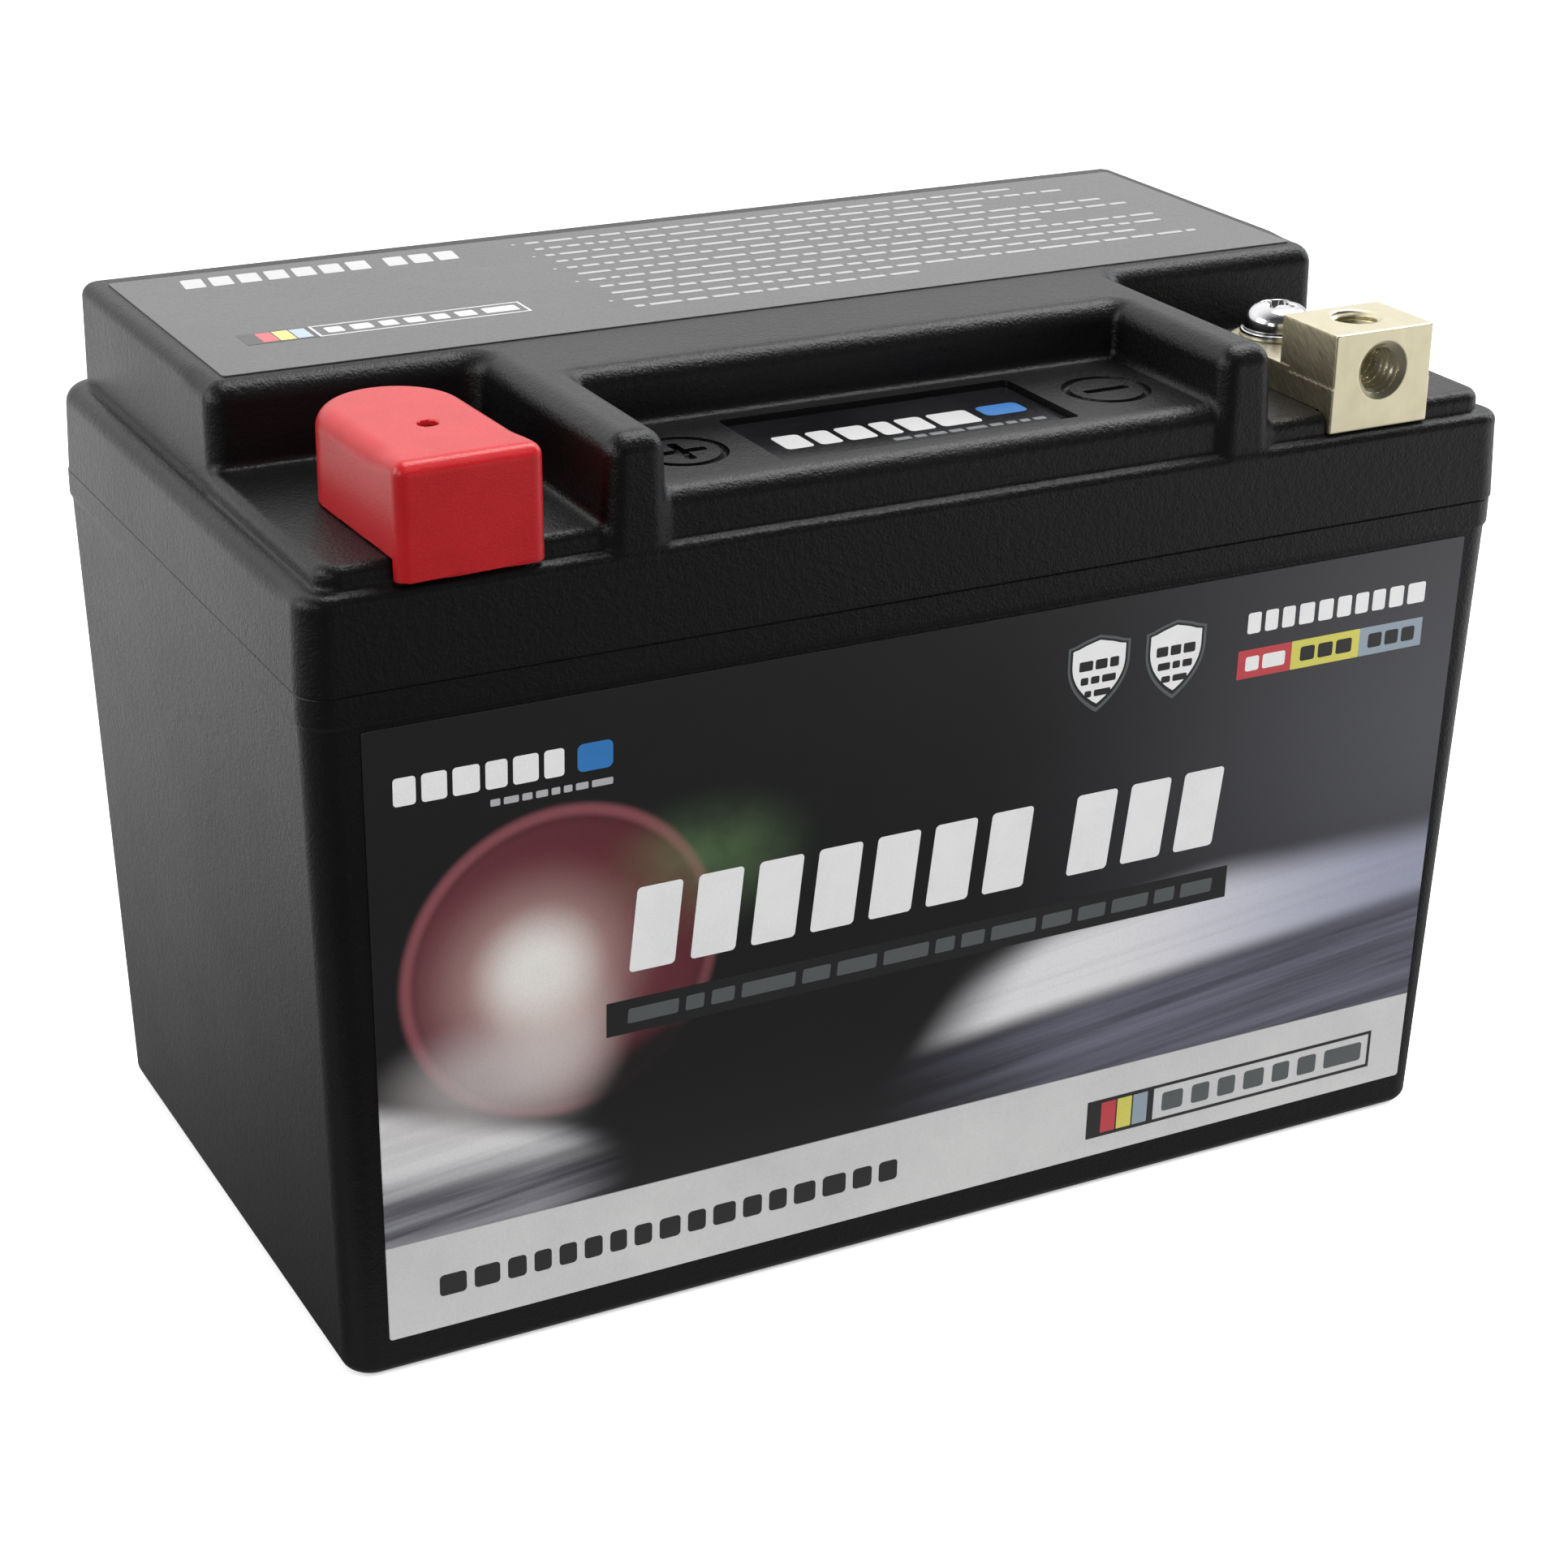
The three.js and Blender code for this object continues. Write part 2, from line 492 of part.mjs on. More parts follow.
for (const [tag, s] of [['neg', 1], ['pos', -1]]) {
  const cx = TERM_X[tag];
  const w = BLOCK_W / 2;
  // block: cube on the pad, lip hanging over the pad's front, tongue behind
  let b = union(
    block(cx - w, cx + w, BLOCK_Y0, BLOCK_Y1, STEP_Z, BLOCK_Z1, { r: 0.25, top: 0.25, seg: 1, steps: 1 }),
    block(cx - w - 0.08, cx + w + 0.08, BLOCK_Y0, BLOCK_Y1 + 1, PAD_Z, STEP_Z, { r: 0.25, seg: 1 }),
    block(cx - w - 0.08, cx + w + 0.08, BLOCK_Y0, BLOCK_Y0 + 2.3, BLOCK_Z0, STEP_Z - 0.5, { r: 0.25, seg: 1 }),
  );
  const end = new THREE.Shape();
  const tw = w + 0.08;
  end.moveTo(cx - tw, BLOCK_Y1 + 0.5);
  end.lineTo(cx + tw, BLOCK_Y1 + 0.5);
  end.lineTo(cx + tw, SCREW_Y - 1.75);
  end.absarc(cx, SCREW_Y - 1.75, tw, 0, Math.PI, false);
  end.lineTo(cx - tw, BLOCK_Y1 + 0.5);
  const g = new THREE.ExtrudeGeometry(end, { depth: TONGUE_Z - PAD_Z, bevelEnabled: false, curveSegments: 14 });
  g.translate(0, 0, PAD_Z);
  b = b.add(toManifold(g));
  // tapped holes: from the front and from the top, meeting inside the cube
  const front = new THREE.LatheGeometry([[0, 0], [BOLT_SINK, 0], [BOLT_SINK, 0.55], [BOLT_R, 1.1], [BOLT_R, 8.4], [0, 9.6]]
    .map((p) => new THREE.Vector2(p[0], p[1])), 24);
  front.translate(0, BLOCK_Y0 - 0.5, 0);
  front.translate(cx, 0, BOLT_HOLE_Z);
  const down = turned([[0, BLOCK_Z1 - 4.6], [BOLT_R, BLOCK_Z1 - 4.6], [BOLT_R, BLOCK_Z1 - 0.3], [BOLT_SINK_TOP, BLOCK_Z1], [BOLT_SINK_TOP, BLOCK_Z1 + 1], [0, BLOCK_Z1 + 1]], cx + 0.15, BOLT_HOLE_Y, 24);
  const screwHole = turned([[0, PAD_Z - 1], [2.6, PAD_Z - 1], [2.6, TONGUE_Z + 1], [0, TONGUE_Z + 1]], cx, SCREW_Y, 20);
  b = cut(b, toManifold(front), down, screwHole);
  add(`terminal_block_${tag}`, b, BRASS);

  // washer, screw and the threaded insert it bites into
  const sx = cx + SCREW_DX;
  let z = TONGUE_Z;
  add(`washer_${tag}`, turned([[2.1, z], [4.4, z], [4.4, z + 0.85], [2.1, z + 0.85], [2.1, z]], sx, SCREW_Y, 32), STEEL);
  z += 0.85;
  {
    const head = turned([[0, 89.2], [1.6, 89.2], [2.0, 89.6], [2.0, z], [3.9, z], [4.02, z + 0.4], [3.95, z + 1.3], [3.45, z + 2.2], [2.5, z + 2.8], [1.2, z + 3.1], [0, z + 3.15]], sx, SCREW_Y, 28);
    const arm = (rot) => {
      const q = new THREE.CylinderGeometry(0.62, 0.3, 2.2, 4, 1);
      q.rotateX(Math.PI / 2);
      q.rotateZ(Math.PI / 4);
      q.scale(3.6, 1, 1);
      q.rotateZ(rot);
      q.translate(sx, SCREW_Y, z + 3.15 - 0.7);
      return toManifold(q);
    };
    add(`terminal_screw_${tag}`, cut(head, arm(0.5), arm(0.5 + Math.PI / 2)), STEEL);
  }
  add(`terminal_insert_${tag}`, turned([[2.15, 88.0], [4.4, 88.0], [4.4, 88.6], [4.95, 88.6], [4.95, PAD_Z], [2.15, PAD_Z], [2.15, 88.0]], sx, SCREW_Y, 24), BRASS);
}

// ----------------------------------------------------------------------- cap

{
  const seg = 14;
  // U-shaped plan: square front corners, half-round back
  const plan = (inset, z, frontR = 1.2) => {
    const r = CAP_R - inset;
    const y0 = CAP_Y0 + inset;
    const q = Math.max(frontR - inset, 0.05);
    const out = [];
    for (let k = 0; k <= seg; k++) {
      const a = Math.PI * (k / seg);
      out.push([CAP_X + r * Math.cos(a), CAP_YC + r * Math.sin(a), z]);
    }
    for (let k = 0; k <= 3; k++) {
      const a = Math.PI + (Math.PI / 2) * (k / 3);
      out.push([CAP_X - r + q + q * Math.cos(a), y0 + q + q * Math.sin(a), z]);
    }
    for (let k = 0; k <= 3; k++) {
      const a = 1.5 * Math.PI + (Math.PI / 2) * (k / 3);
      out.push([CAP_X + r - q + q * Math.cos(a), y0 + q + q * Math.sin(a), z]);
    }
    const c = Math.cos((CAP_TURN * Math.PI) / 180);
    const n = Math.sin((CAP_TURN * Math.PI) / 180);
    return out.map(([x, y, h]) => [CAP_X + (x - CAP_X) * c - (y + 33) * n, -33 + (x - CAP_X) * n + (y + 33) * c, h]);
  };
  const e = 1.3;
  const rings = [plan(0, CAP_SKIRT_Z), plan(0, CAP_Z1 - e)];
  for (let k = 1; k <= 4; k++) {
    const a = (Math.PI / 2) * (k / 4);
    rings.push(plan(e * (1 - Math.cos(a)), CAP_Z1 - e + e * Math.sin(a)));
  }
  const outer = toManifold(loft(rings));
  const inner = toManifold(loft([
    plan(CAP_WALL, CAP_SKIRT_Z - 1, 1.0), plan(CAP_WALL, CAP_Z1 - CAP_WALL - 0.3, 1.0),
    plan(CAP_WALL + 0.25, CAP_Z1 - CAP_WALL, 1.0)]));
  // only the front skirt hangs below the pad level
  const trim = box(CAP_X - 12, CAP_X + 12, PAD_Y0 - 0.25, CAP_YC + 12, CAP_SKIRT_Z - 2, CAP_Z0);
  const vent = turned([[0, CAP_Z1 - 3], [1.15, CAP_Z1 - 3], [1.15, CAP_Z1 + 1], [0, CAP_Z1 + 1]], CAP_X + 0.3, -32.1, 16);
  add('terminal_cap', cut(outer, inner, trim, vent), RED);
}

// ----------------------------------------------------------------- cell pack

const rows = [-CELL_DY, 0, CELL_DY];
const cellX = (row, k) => (row === 1 ? -34.0 : -47.6) + k * CELL_DX;
const centres = [];
rows.forEach((y, row) => {
  for (let k = 0; k < 4; k++) centres.push([cellX(row, k), y, k]);
});

add('foam_pad_floor', block(-66, 66, -36, 36, FLOOR, 6.1, { r: 2, seg: 2 }), FOAM);

const holder = (z0, z1) => plate(
  [[-64, -37], [64, -37], [64, 37], [-64, 37]],
  centres.map(([x, y]) => [x, y, CELL_R + 0.25]), z0, z1, 12);
add('cell_holder_lower', holder(8, 15), HOLDER);
add('cell_holder_upper', holder(62, 70.4), HOLDER);

centres.forEach(([x, y, k], i) => {
  const z = CELL_Z;
  const up = k % 2 === 0;            // groups alternate end for end
  const h = (v) => (up ? z + v : z + CELL_L - v);
  const p = [[0, 0], [11.8, 0], [CELL_R, 0.9], [CELL_R, 58.6], [12.2, 59.3], [CELL_R - 0.3, 60.1], [CELL_R - 0.3, 63.2], [11.9, 64.1], [6.2, 64.1], [5.4, 65], [0, 65]];
  const pts = p.map(([r, v]) => [r, h(v)]);
  if (!up) pts.reverse();
  add(`cell_${String(i + 1).padStart(2, '0')}`, turned(pts, x, y, 20), SLEEVE);
});

// Nickel links follow the zigzag of the cell columns.
function link(k0, k1, z0, z1) {
  const m = 12.2;
  const left = [];
  const right = [];
  const ys = [-CELL_DY - 10, -CELL_DY / 2, CELL_DY / 2, CELL_DY + 10];
  const xl = (row) => cellX(row, k0) - m;
  const xr = (row) => cellX(row, k1) + m;
  left.push([xl(0), ys[0]], [xl(0), -CELL_DY / 2 - 4], [xl(1), -CELL_DY / 2 + 4], [xl(1), CELL_DY / 2 - 4], [xl(2), CELL_DY / 2 + 4], [xl(2), ys[3]]);
  right.push([xr(0), ys[0]], [xr(0), -CELL_DY / 2 - 4], [xr(1), -CELL_DY / 2 + 4], [xr(1), CELL_DY / 2 - 4], [xr(2), CELL_DY / 2 + 4], [xr(2), ys[3]]);
  return plate([...right, ...left.reverse()], [], z0, z1);
}
const TOP_LINK = CELL_Z + CELL_L;
add('link_floor_a', link(0, 1, 6.1, CELL_Z), NICKEL);
add('link_floor_b', link(2, 3, 6.1, CELL_Z), NICKEL);
add('link_top_pos', link(0, 0, TOP_LINK, TOP_LINK + 0.4), NICKEL);
add('link_top_mid', link(1, 2, TOP_LINK, TOP_LINK + 0.4), NICKEL);
add('link_top_neg', link(3, 3, TOP_LINK, TOP_LINK + 0.4), NICKEL);

// ---------------------------------------------------- management electronics

const PCB_Z = 78;
const PCB = [-44, 66, -34, 34];
const posts = [[-62.0, -35.0], [62.0, -35.0], [-62.0, 35.0], [62.0, 35.0]];
const standoffs = [[-36, -34.4], [62, -33.5], [-36, 34.4], [62, 33.5]];
add('bms_board', cut(
  block(PCB[0], PCB[1], PCB[2], PCB[3], PCB_Z, PCB_Z + 1.6, { r: 2, seg: 3 }),
  ...[[62, -30.5], [62, 30.5], [-40, -30.5], [-40, 30.5]].map(([x, y]) => turned([[0, 70], [1.6, 70], [1.6, 90], [0, 90]], x, y, 16)),
), BOARD);
[[62, -30.5], [62, 30.5], [-40, -30.5], [-40, 30.5]].forEach(([x, y], i) => {
  // nylon post between the upper holder and the board, with a retaining button
  add(`bms_post_${i + 1}`, turned([[0, i < 4 ? 74.2 : 0], [2.6, 74.2], [2.6, PCB_Z], [1.45, PCB_Z], [1.45, PCB_Z + 1.6], [2.2, PCB_Z + 2.0], [1.6, PCB_Z + 2.8], [0, PCB_Z + 2.8]], x, y, 16), WHITE);
});
add('bms_tray', cut(
  block(-46, 68, -36, 36, TOP_LINK + 0.4, 74.2, { r: 3, seg: 3 }),
  box(-2, 16, -8, 8, 70, 80),
  block(37, 51, 9, 21, 70, 80, { r: 1, seg: 1 }),
), HOLDER);

const onBoard = PCB_Z + 1.6;
for (let i = 0; i < 4; i++) {
  add(`mosfet_${i + 1}`, union(
    box(20 + i * 11, 29 + i * 11, -20, -8, onBoard, onBoard + 2.3),
    box(21 + i * 11, 28 + i * 11, -8.5, -5.5, onBoard, onBoard + 0.9),
  ), CHIP);
}
add('heat_spreader', union(
  box(18, 63, -21, -7.5, onBoard + 2.3, onBoard + 3.8),
  ...[0, 1, 2, 3, 4].map((i) => box(18, 63, -20.6 + i * 3, -19.6 + i * 3, onBoard + 3, onBoard + 6)),
), ALU);
add('bms_controller', block(-12, 2, 4, 18, onBoard, onBoard + 1.4, { r: 0.3, seg: 1 }), CHIP);
add('balance_socket', cut(box(-40.5, -33.5, -10, 10, onBoard, onBoard + 6.2), box(-39.5, -34.5, -9, 9, onBoard + 1.6, onBoard + 8)), WHITE);
add('shunt_resistor', strip(36, 46, [[2, onBoard], [5, onBoard], [5, onBoard + 1.6], [15, onBoard + 1.6], [15, onBoard], [18, onBoard], [18, onBoard + 2.2], [2, onBoard + 2.2]]), COPPER);

// -------------------------------------------------------------------- straps

{
  // positive link straight up to its insert
  const z0 = TOP_LINK + 0.4;
  add('strap_pos', strip(TERM_X.pos - 5, TERM_X.pos + 5, [
    [-12, z0], [-12, z0 + 0.8], [-29.2, z0 + 0.8], [-29.2, 86.7], [-18.4, 86.7], [-18.4, 88.0], [-30.0, 88.0], [-30.0, z0],
  ].reverse()), COPPER);
  // negative link to the board, through the opening in the tray
  add('strap_b_minus', strip(38, 50, [
    [10, z0], [20, z0], [20, z0 + 0.8], [16, z0 + 0.8], [16, PCB_Z], [15.2, PCB_Z], [15.2, z0 + 0.8], [10, z0 + 0.8],
  ]), COPPER);
  // board to the negative insert
  add('strap_neg', strip(TERM_X.neg - 5.8, TERM_X.neg + 3.0, [
    [-34 + 1.5, onBoard], [-22.5, onBoard], [-22.5, onBoard + 0.8], [-31.7, onBoard + 0.8], [-31.7, 87.2], [-18.4, 87.2], [-18.4, 88.0], [-32.5, 88.0],
  ]), COPPER);
}

export default battery;
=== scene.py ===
import math

import bpy
import bmesh
import numpy as np
from mathutils import Matrix, Vector


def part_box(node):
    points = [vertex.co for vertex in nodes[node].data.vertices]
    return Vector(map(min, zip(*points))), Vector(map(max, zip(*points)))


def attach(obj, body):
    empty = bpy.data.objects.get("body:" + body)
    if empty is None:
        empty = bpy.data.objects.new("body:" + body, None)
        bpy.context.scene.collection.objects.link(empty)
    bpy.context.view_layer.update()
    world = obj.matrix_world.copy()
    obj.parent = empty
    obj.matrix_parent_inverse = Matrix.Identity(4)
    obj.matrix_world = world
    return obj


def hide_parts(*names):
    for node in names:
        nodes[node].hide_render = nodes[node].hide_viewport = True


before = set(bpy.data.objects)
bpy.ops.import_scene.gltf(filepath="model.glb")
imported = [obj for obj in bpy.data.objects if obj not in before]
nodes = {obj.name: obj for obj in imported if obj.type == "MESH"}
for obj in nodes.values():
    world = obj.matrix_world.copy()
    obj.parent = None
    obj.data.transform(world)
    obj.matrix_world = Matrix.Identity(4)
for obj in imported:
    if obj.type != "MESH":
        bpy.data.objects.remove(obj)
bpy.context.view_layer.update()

MM = 0.001

# ------------------------------------------------------------------ mesh tools


def finish_mesh(name, verts, faces, body="battery", smooth=None, weighted=True):
    """A new object from points in millimetres."""
    me = bpy.data.meshes.new(name)
    me.from_pydata([tuple(np.asarray(v, float) * MM) for v in verts], [], [tuple(int(i) for i in f) for f in faces])
    me.validate(clean_customdata=False)
    me.update()
    ob = bpy.data.objects.new(name, me)
    bpy.context.scene.collection.objects.link(ob)
    if smooth is not None:
        shade(ob, smooth, weighted)
    return ob


def shade(ob, angle=35.0, weighted=True):
    me = ob.data
    me.polygons.foreach_set("use_smooth", [True] * len(me.polygons))
    bm = bmesh.new()
    bm.from_mesh(me)
    lim = math.radians(angle)
    for e in bm.edges:
        if len(e.link_faces) == 2:
            e.smooth = e.calc_face_angle(0.0) < lim
    bm.to_mesh(me)
    bm.free()
    if weighted:
        m = ob.modifiers.new("wn", "WEIGHTED_NORMAL")
        m.keep_sharp = True
        m.weight = 60
        m.mode = "FACE_AREA"
        bake(ob)


def bake(ob):
    """Apply every modifier to the object's own mesh."""
    dg = bpy.context.evaluated_depsgraph_get()
    dg.update()
    me = bpy.data.meshes.new_from_object(ob.evaluated_get(dg), depsgraph=dg)
    old = ob.data
    ob.modifiers.clear()
    ob.data = me
    if old.users == 0:
        bpy.data.meshes.remove(old)
    me.name = ob.name
    return ob


def drop(ob):
    me = ob.data
    bpy.data.objects.remove(ob)
    if me.users == 0:
        bpy.data.meshes.remove(me)


def boolean(ob, cutter, op="DIFFERENCE"):
    before = len(ob.data.polygons)
    for solver in ("MANIFOLD", "EXACT"):
        m = ob.modifiers.new("b", "BOOLEAN")
        m.operation = op
        m.object = cutter
        try:
            m.solver = solver
        except TypeError:
            ob.modifiers.clear()
            continue
        dg = bpy.context.evaluated_depsgraph_get()
        dg.update()
        me = bpy.data.meshes.new_from_object(ob.evaluated_get(dg), depsgraph=dg)
        ob.modifiers.clear()
        if len(me.polygons) > 3 and len(me.polygons) != before or op == "UNION" and len(me.polygons) > 3:
            ob.data = me
            break
        bpy.data.meshes.remove(me)
    drop(cutter)
    return ob


def lines(lo, hi, coarse, *fine):
    """Grid coordinates from lo to hi, with steps of coarse apart from the fine stretches (a, b, step)."""
    pts = [lo, hi]
    for a, b, step in fine:
        n = max(1, int(math.ceil((b - a) / step)))
        pts += list(np.linspace(a, b, n + 1))
    pts = sorted(p for p in pts if lo <= p <= hi)
    smallest = min([f[2] for f in fine] + [coarse])
    keep = [pts[0]]
    for p in pts[1:]:
        if p - keep[-1] > 0.45 * smallest:
            keep.append(p)
    out = [keep[0]]
    for p in keep[1:]:
        gap = p - out[-1]
        if gap > coarse * 1.05:
            n = int(math.ceil(gap / coarse))
            out += list(np.linspace(out[-1], p, n + 1)[1:])
        else:
            out.append(p)
    return np.array(out) + 0.00137


def nets(f, xs, ys, zs, steps=4, chunk=40):
    """Skin of the solid f < 0 over a rectilinear grid, with its points pulled on to f = 0."""
    nx, ny, nz = len(xs), len(ys), len(zs)
    D = np.empty((nx, ny, nz), np.float32)
    for i in range(0, nx, chunk):
        X, Y, Z = np.meshgrid(xs[i:i + chunk], ys, zs, indexing="ij")
        D[i:i + chunk] = f(X, Y, Z)
    D[D == 0] = 1e-6
    S = D < 0
    cx, cy, cz = nx - 1, ny - 1, nz - 1
    ncell = cx * cy * cz

    def cell(i, j, k):
        return (i * cy + j) * cz + k

    acc = np.zeros((3, 0))
    idx_all, pos_all, quads = [], [], []
    grids = (xs, ys, zs)
    for axis in range(3):
        a = [slice(None)] * 3
        b = [slice(None)] * 3
        a[axis] = slice(0, -1)
        b[axis] = slice(1, None)
        sa, sb = S[tuple(a)], S[tuple(b)]
        ii = np.argwhere(sa != sb)
        d0 = D[tuple(a)][tuple(ii.T)].astype(float)
        d1 = D[tuple(b)][tuple(ii.T)].astype(float)
        t = d0 / (d0 - d1)
        p = np.stack([grids[m][ii[:, m]] for m in range(3)], 1).astype(float)
        g = grids[axis]
        p[:, axis] = g[ii[:, axis]] * (1 - t) + g[ii[:, axis] + 1] * t
        o1, o2 = (axis + 1) % 3, (axis + 2) % 3
        corners = []
        for q1, q2 in ((-1, -1), (0, -1), (0, 0), (-1, 0)):
            c = ii.copy()
            c[:, o1] += q1
            c[:, o2] += q2
            ok = (c >= 0).all(1) & (c[:, 0] < cx) & (c[:, 1] < cy) & (c[:, 2] < cz)
            cid = np.where(ok, cell(c[:, 0], c[:, 1], c[:, 2]), -1)
            corners.append(cid)
            idx_all.append(cid[ok])
            pos_all.append(p[ok])
        q = np.stack(corners, 1)
        inside = S[tuple(a)][tuple(ii.T)]
        q = np.where(inside[:, None], q, q[:, ::-1])
        quads.append(q[(q >= 0).all(1)])
    idx = np.concatenate(idx_all)
    pos = np.concatenate(pos_all)
    quads = np.concatenate(quads)
    used, inv = np.unique(idx, return_inverse=True)
    cnt = np.bincount(inv, minlength=len(used))[:, None]
    V = np.stack([np.bincount(inv, weights=pos[:, m], minlength=len(used)) for m in range(3)], 1) / cnt
    lut = np.full(ncell, -1, np.int64)
    lut[used] = np.arange(len(used))
    quads = lut[quads]
    # pull on to the surface
    ci = np.stack(np.unravel_index(used, (cx, cy, cz)), 1)
    size = np.stack([np.diff(g)[ci[:, m]] for m, g in enumerate(grids)], 1)
    lim = 0.6 * size
    P = V.copy()
    h = 1e-3
    for _ in range(steps):
        d = f(P[:, 0], P[:, 1], P[:, 2])
        G = np.stack([
            f(P[:, 0] + h, P[:, 1], P[:, 2]) - f(P[:, 0] - h, P[:, 1], P[:, 2]),
            f(P[:, 0], P[:, 1] + h, P[:, 2]) - f(P[:, 0], P[:, 1] - h, P[:, 2]),
            f(P[:, 0], P[:, 1], P[:, 2] + h) - f(P[:, 0], P[:, 1], P[:, 2] - h)], 1) / (2 * h)
        g2 = np.maximum((G * G).sum(1), 0.09)
        P = P - (d / g2)[:, None] * G
        P = np.clip(P, V - lim, V + lim)
    return P, quads


def net_object(name, f, xs, ys, zs, **kw):
    P, Q = nets(f, xs, ys, zs)
    return finish_mesh(name, P, Q, **kw)


def length(a, b):
    return np.sqrt(a * a + b * b)


def rect(x, y, x0, x1, y0, y1, r):
    qx = np.abs(x - (x0 + x1) / 2) - (x1 - x0) / 2 + r
    qy = np.abs(y - (y0 + y1) / 2) - (y1 - y0) / 2 + r
    return length(np.maximum(qx, 0), np.maximum(qy, 0)) + np.minimum(np.maximum(qx, qy), 0) - r


def both(a, b, r):
    """Intersection with its edge rounded to radius r."""
    return np.minimum(-r, np.maximum(a, b)) + length(np.maximum(r + a, 0), np.maximum(r + b, 0))


def either(a, b, r):
    """Union with its corner filled to radius r."""
    return np.maximum(r, np.minimum(a, b)) - length(np.maximum(r - a, 0), np.maximum(r - b, 0))


def cutaway(a, b, r):
    return both(a, -b, r)


def ring_rect(x0, x1, y0, y1, radius, z, seg=8):
    r = radius if isinstance(radius, (list, tuple)) else [radius] * 4
    c = [(x1, y1, -1, -1, 0), (x0, y1, 1, -1, 90), (x0, y0, 1, 1, 180), (x1, y0, -1, 1, 270)]
    out = []
    for (x, y, sx, sy, a0), q in zip(c, r):
        q = max(q, 0.01)
        for k in range(seg + 1):
            a = math.radians(a0 + 90 * k / seg)
            out.append((x + sx * q + q * math.cos(a), y + sy * q + q * math.sin(a), z))
    return out


def loft(name, rings, smooth=35.0, weighted=True):
    n = len(rings[0])
    verts = [p for r in rings for p in r]
    faces = []
    for k in range(len(rings) - 1):
        for i in range(n):
            j = (i + 1) % n
            faces.append((k * n + i, k * n + j, (k + 1) * n + j, (k + 1) * n + i))
    faces.append(tuple(range(n - 1, -1, -1)))
    faces.append(tuple((len(rings) - 1) * n + i for i in range(n)))
    return finish_mesh(name, verts, faces, smooth=smooth, weighted=weighted)


def prism(name, x0, x1, y0, y1, z0, z1, r=0.5, top=0.0, bottom=0.0, seg=6, steps=4, smooth=35.0):
    rr = list(r) if isinstance(r, (list, tuple)) else [r] * 4
    rings = []

    def at(z, inset):
        rings.append(ring_rect(x0 + inset, x1 - inset, y0 + inset, y1 - inset, [q - inset for q in rr], z, seg))
    if bottom > 0:
        for k in range(steps):
            a = math.pi / 2 * k / steps
            at(z0 + bottom * (1 - math.cos(a)), bottom * (1 - math.sin(a)))
        at(z0 + bottom, 0)
    else:
        at(z0, 0)
    if top > 0:
        at(z1 - top, 0)
        for k in range(1, steps + 1):
            a = math.pi / 2 * k / steps
            at(z1 - top + top * math.sin(a), top * (1 - math.cos(a)))
    else:
        at(z1, 0)
    return loft(name, rings, smooth)


def lathe(name, profile, x, y, seg=64, smooth=35.0, closed=False, weighted=True):
    """Turned piece about Z from (radius, z) points. closed: the profile is a loop that stays off the axis."""
    verts, faces, rows = [], [], []
    for r, z in profile:
        if r < 1e-6:
            rows.append([len(verts)])
            verts.append((x, y, z))
        else:
            rows.append(list(range(len(verts), len(verts) + seg)))
            verts += [(x + r * math.cos(2 * math.pi * k / seg), y + r * math.sin(2 * math.pi * k / seg), z) for k in range(seg)]
    pairs = list(zip(rows, rows[1:])) + ([(rows[-1], rows[0])] if closed else [])
    for a, b in pairs:
        for k in range(seg):
            j = (k + 1) % seg
            if len(a) == 1 and len(b) == 1:
                continue
            if len(a) == 1:
                faces.append((a[0], b[j], b[k]))
            elif len(b) == 1:
                faces.append((a[k], a[j], b[0]))
            else:
                faces.append((a[k], a[j], b[j], b[k]))
    return finish_mesh(name, verts, faces, smooth=smooth, weighted=weighted)


# ------------------------------------------------------------------- materials

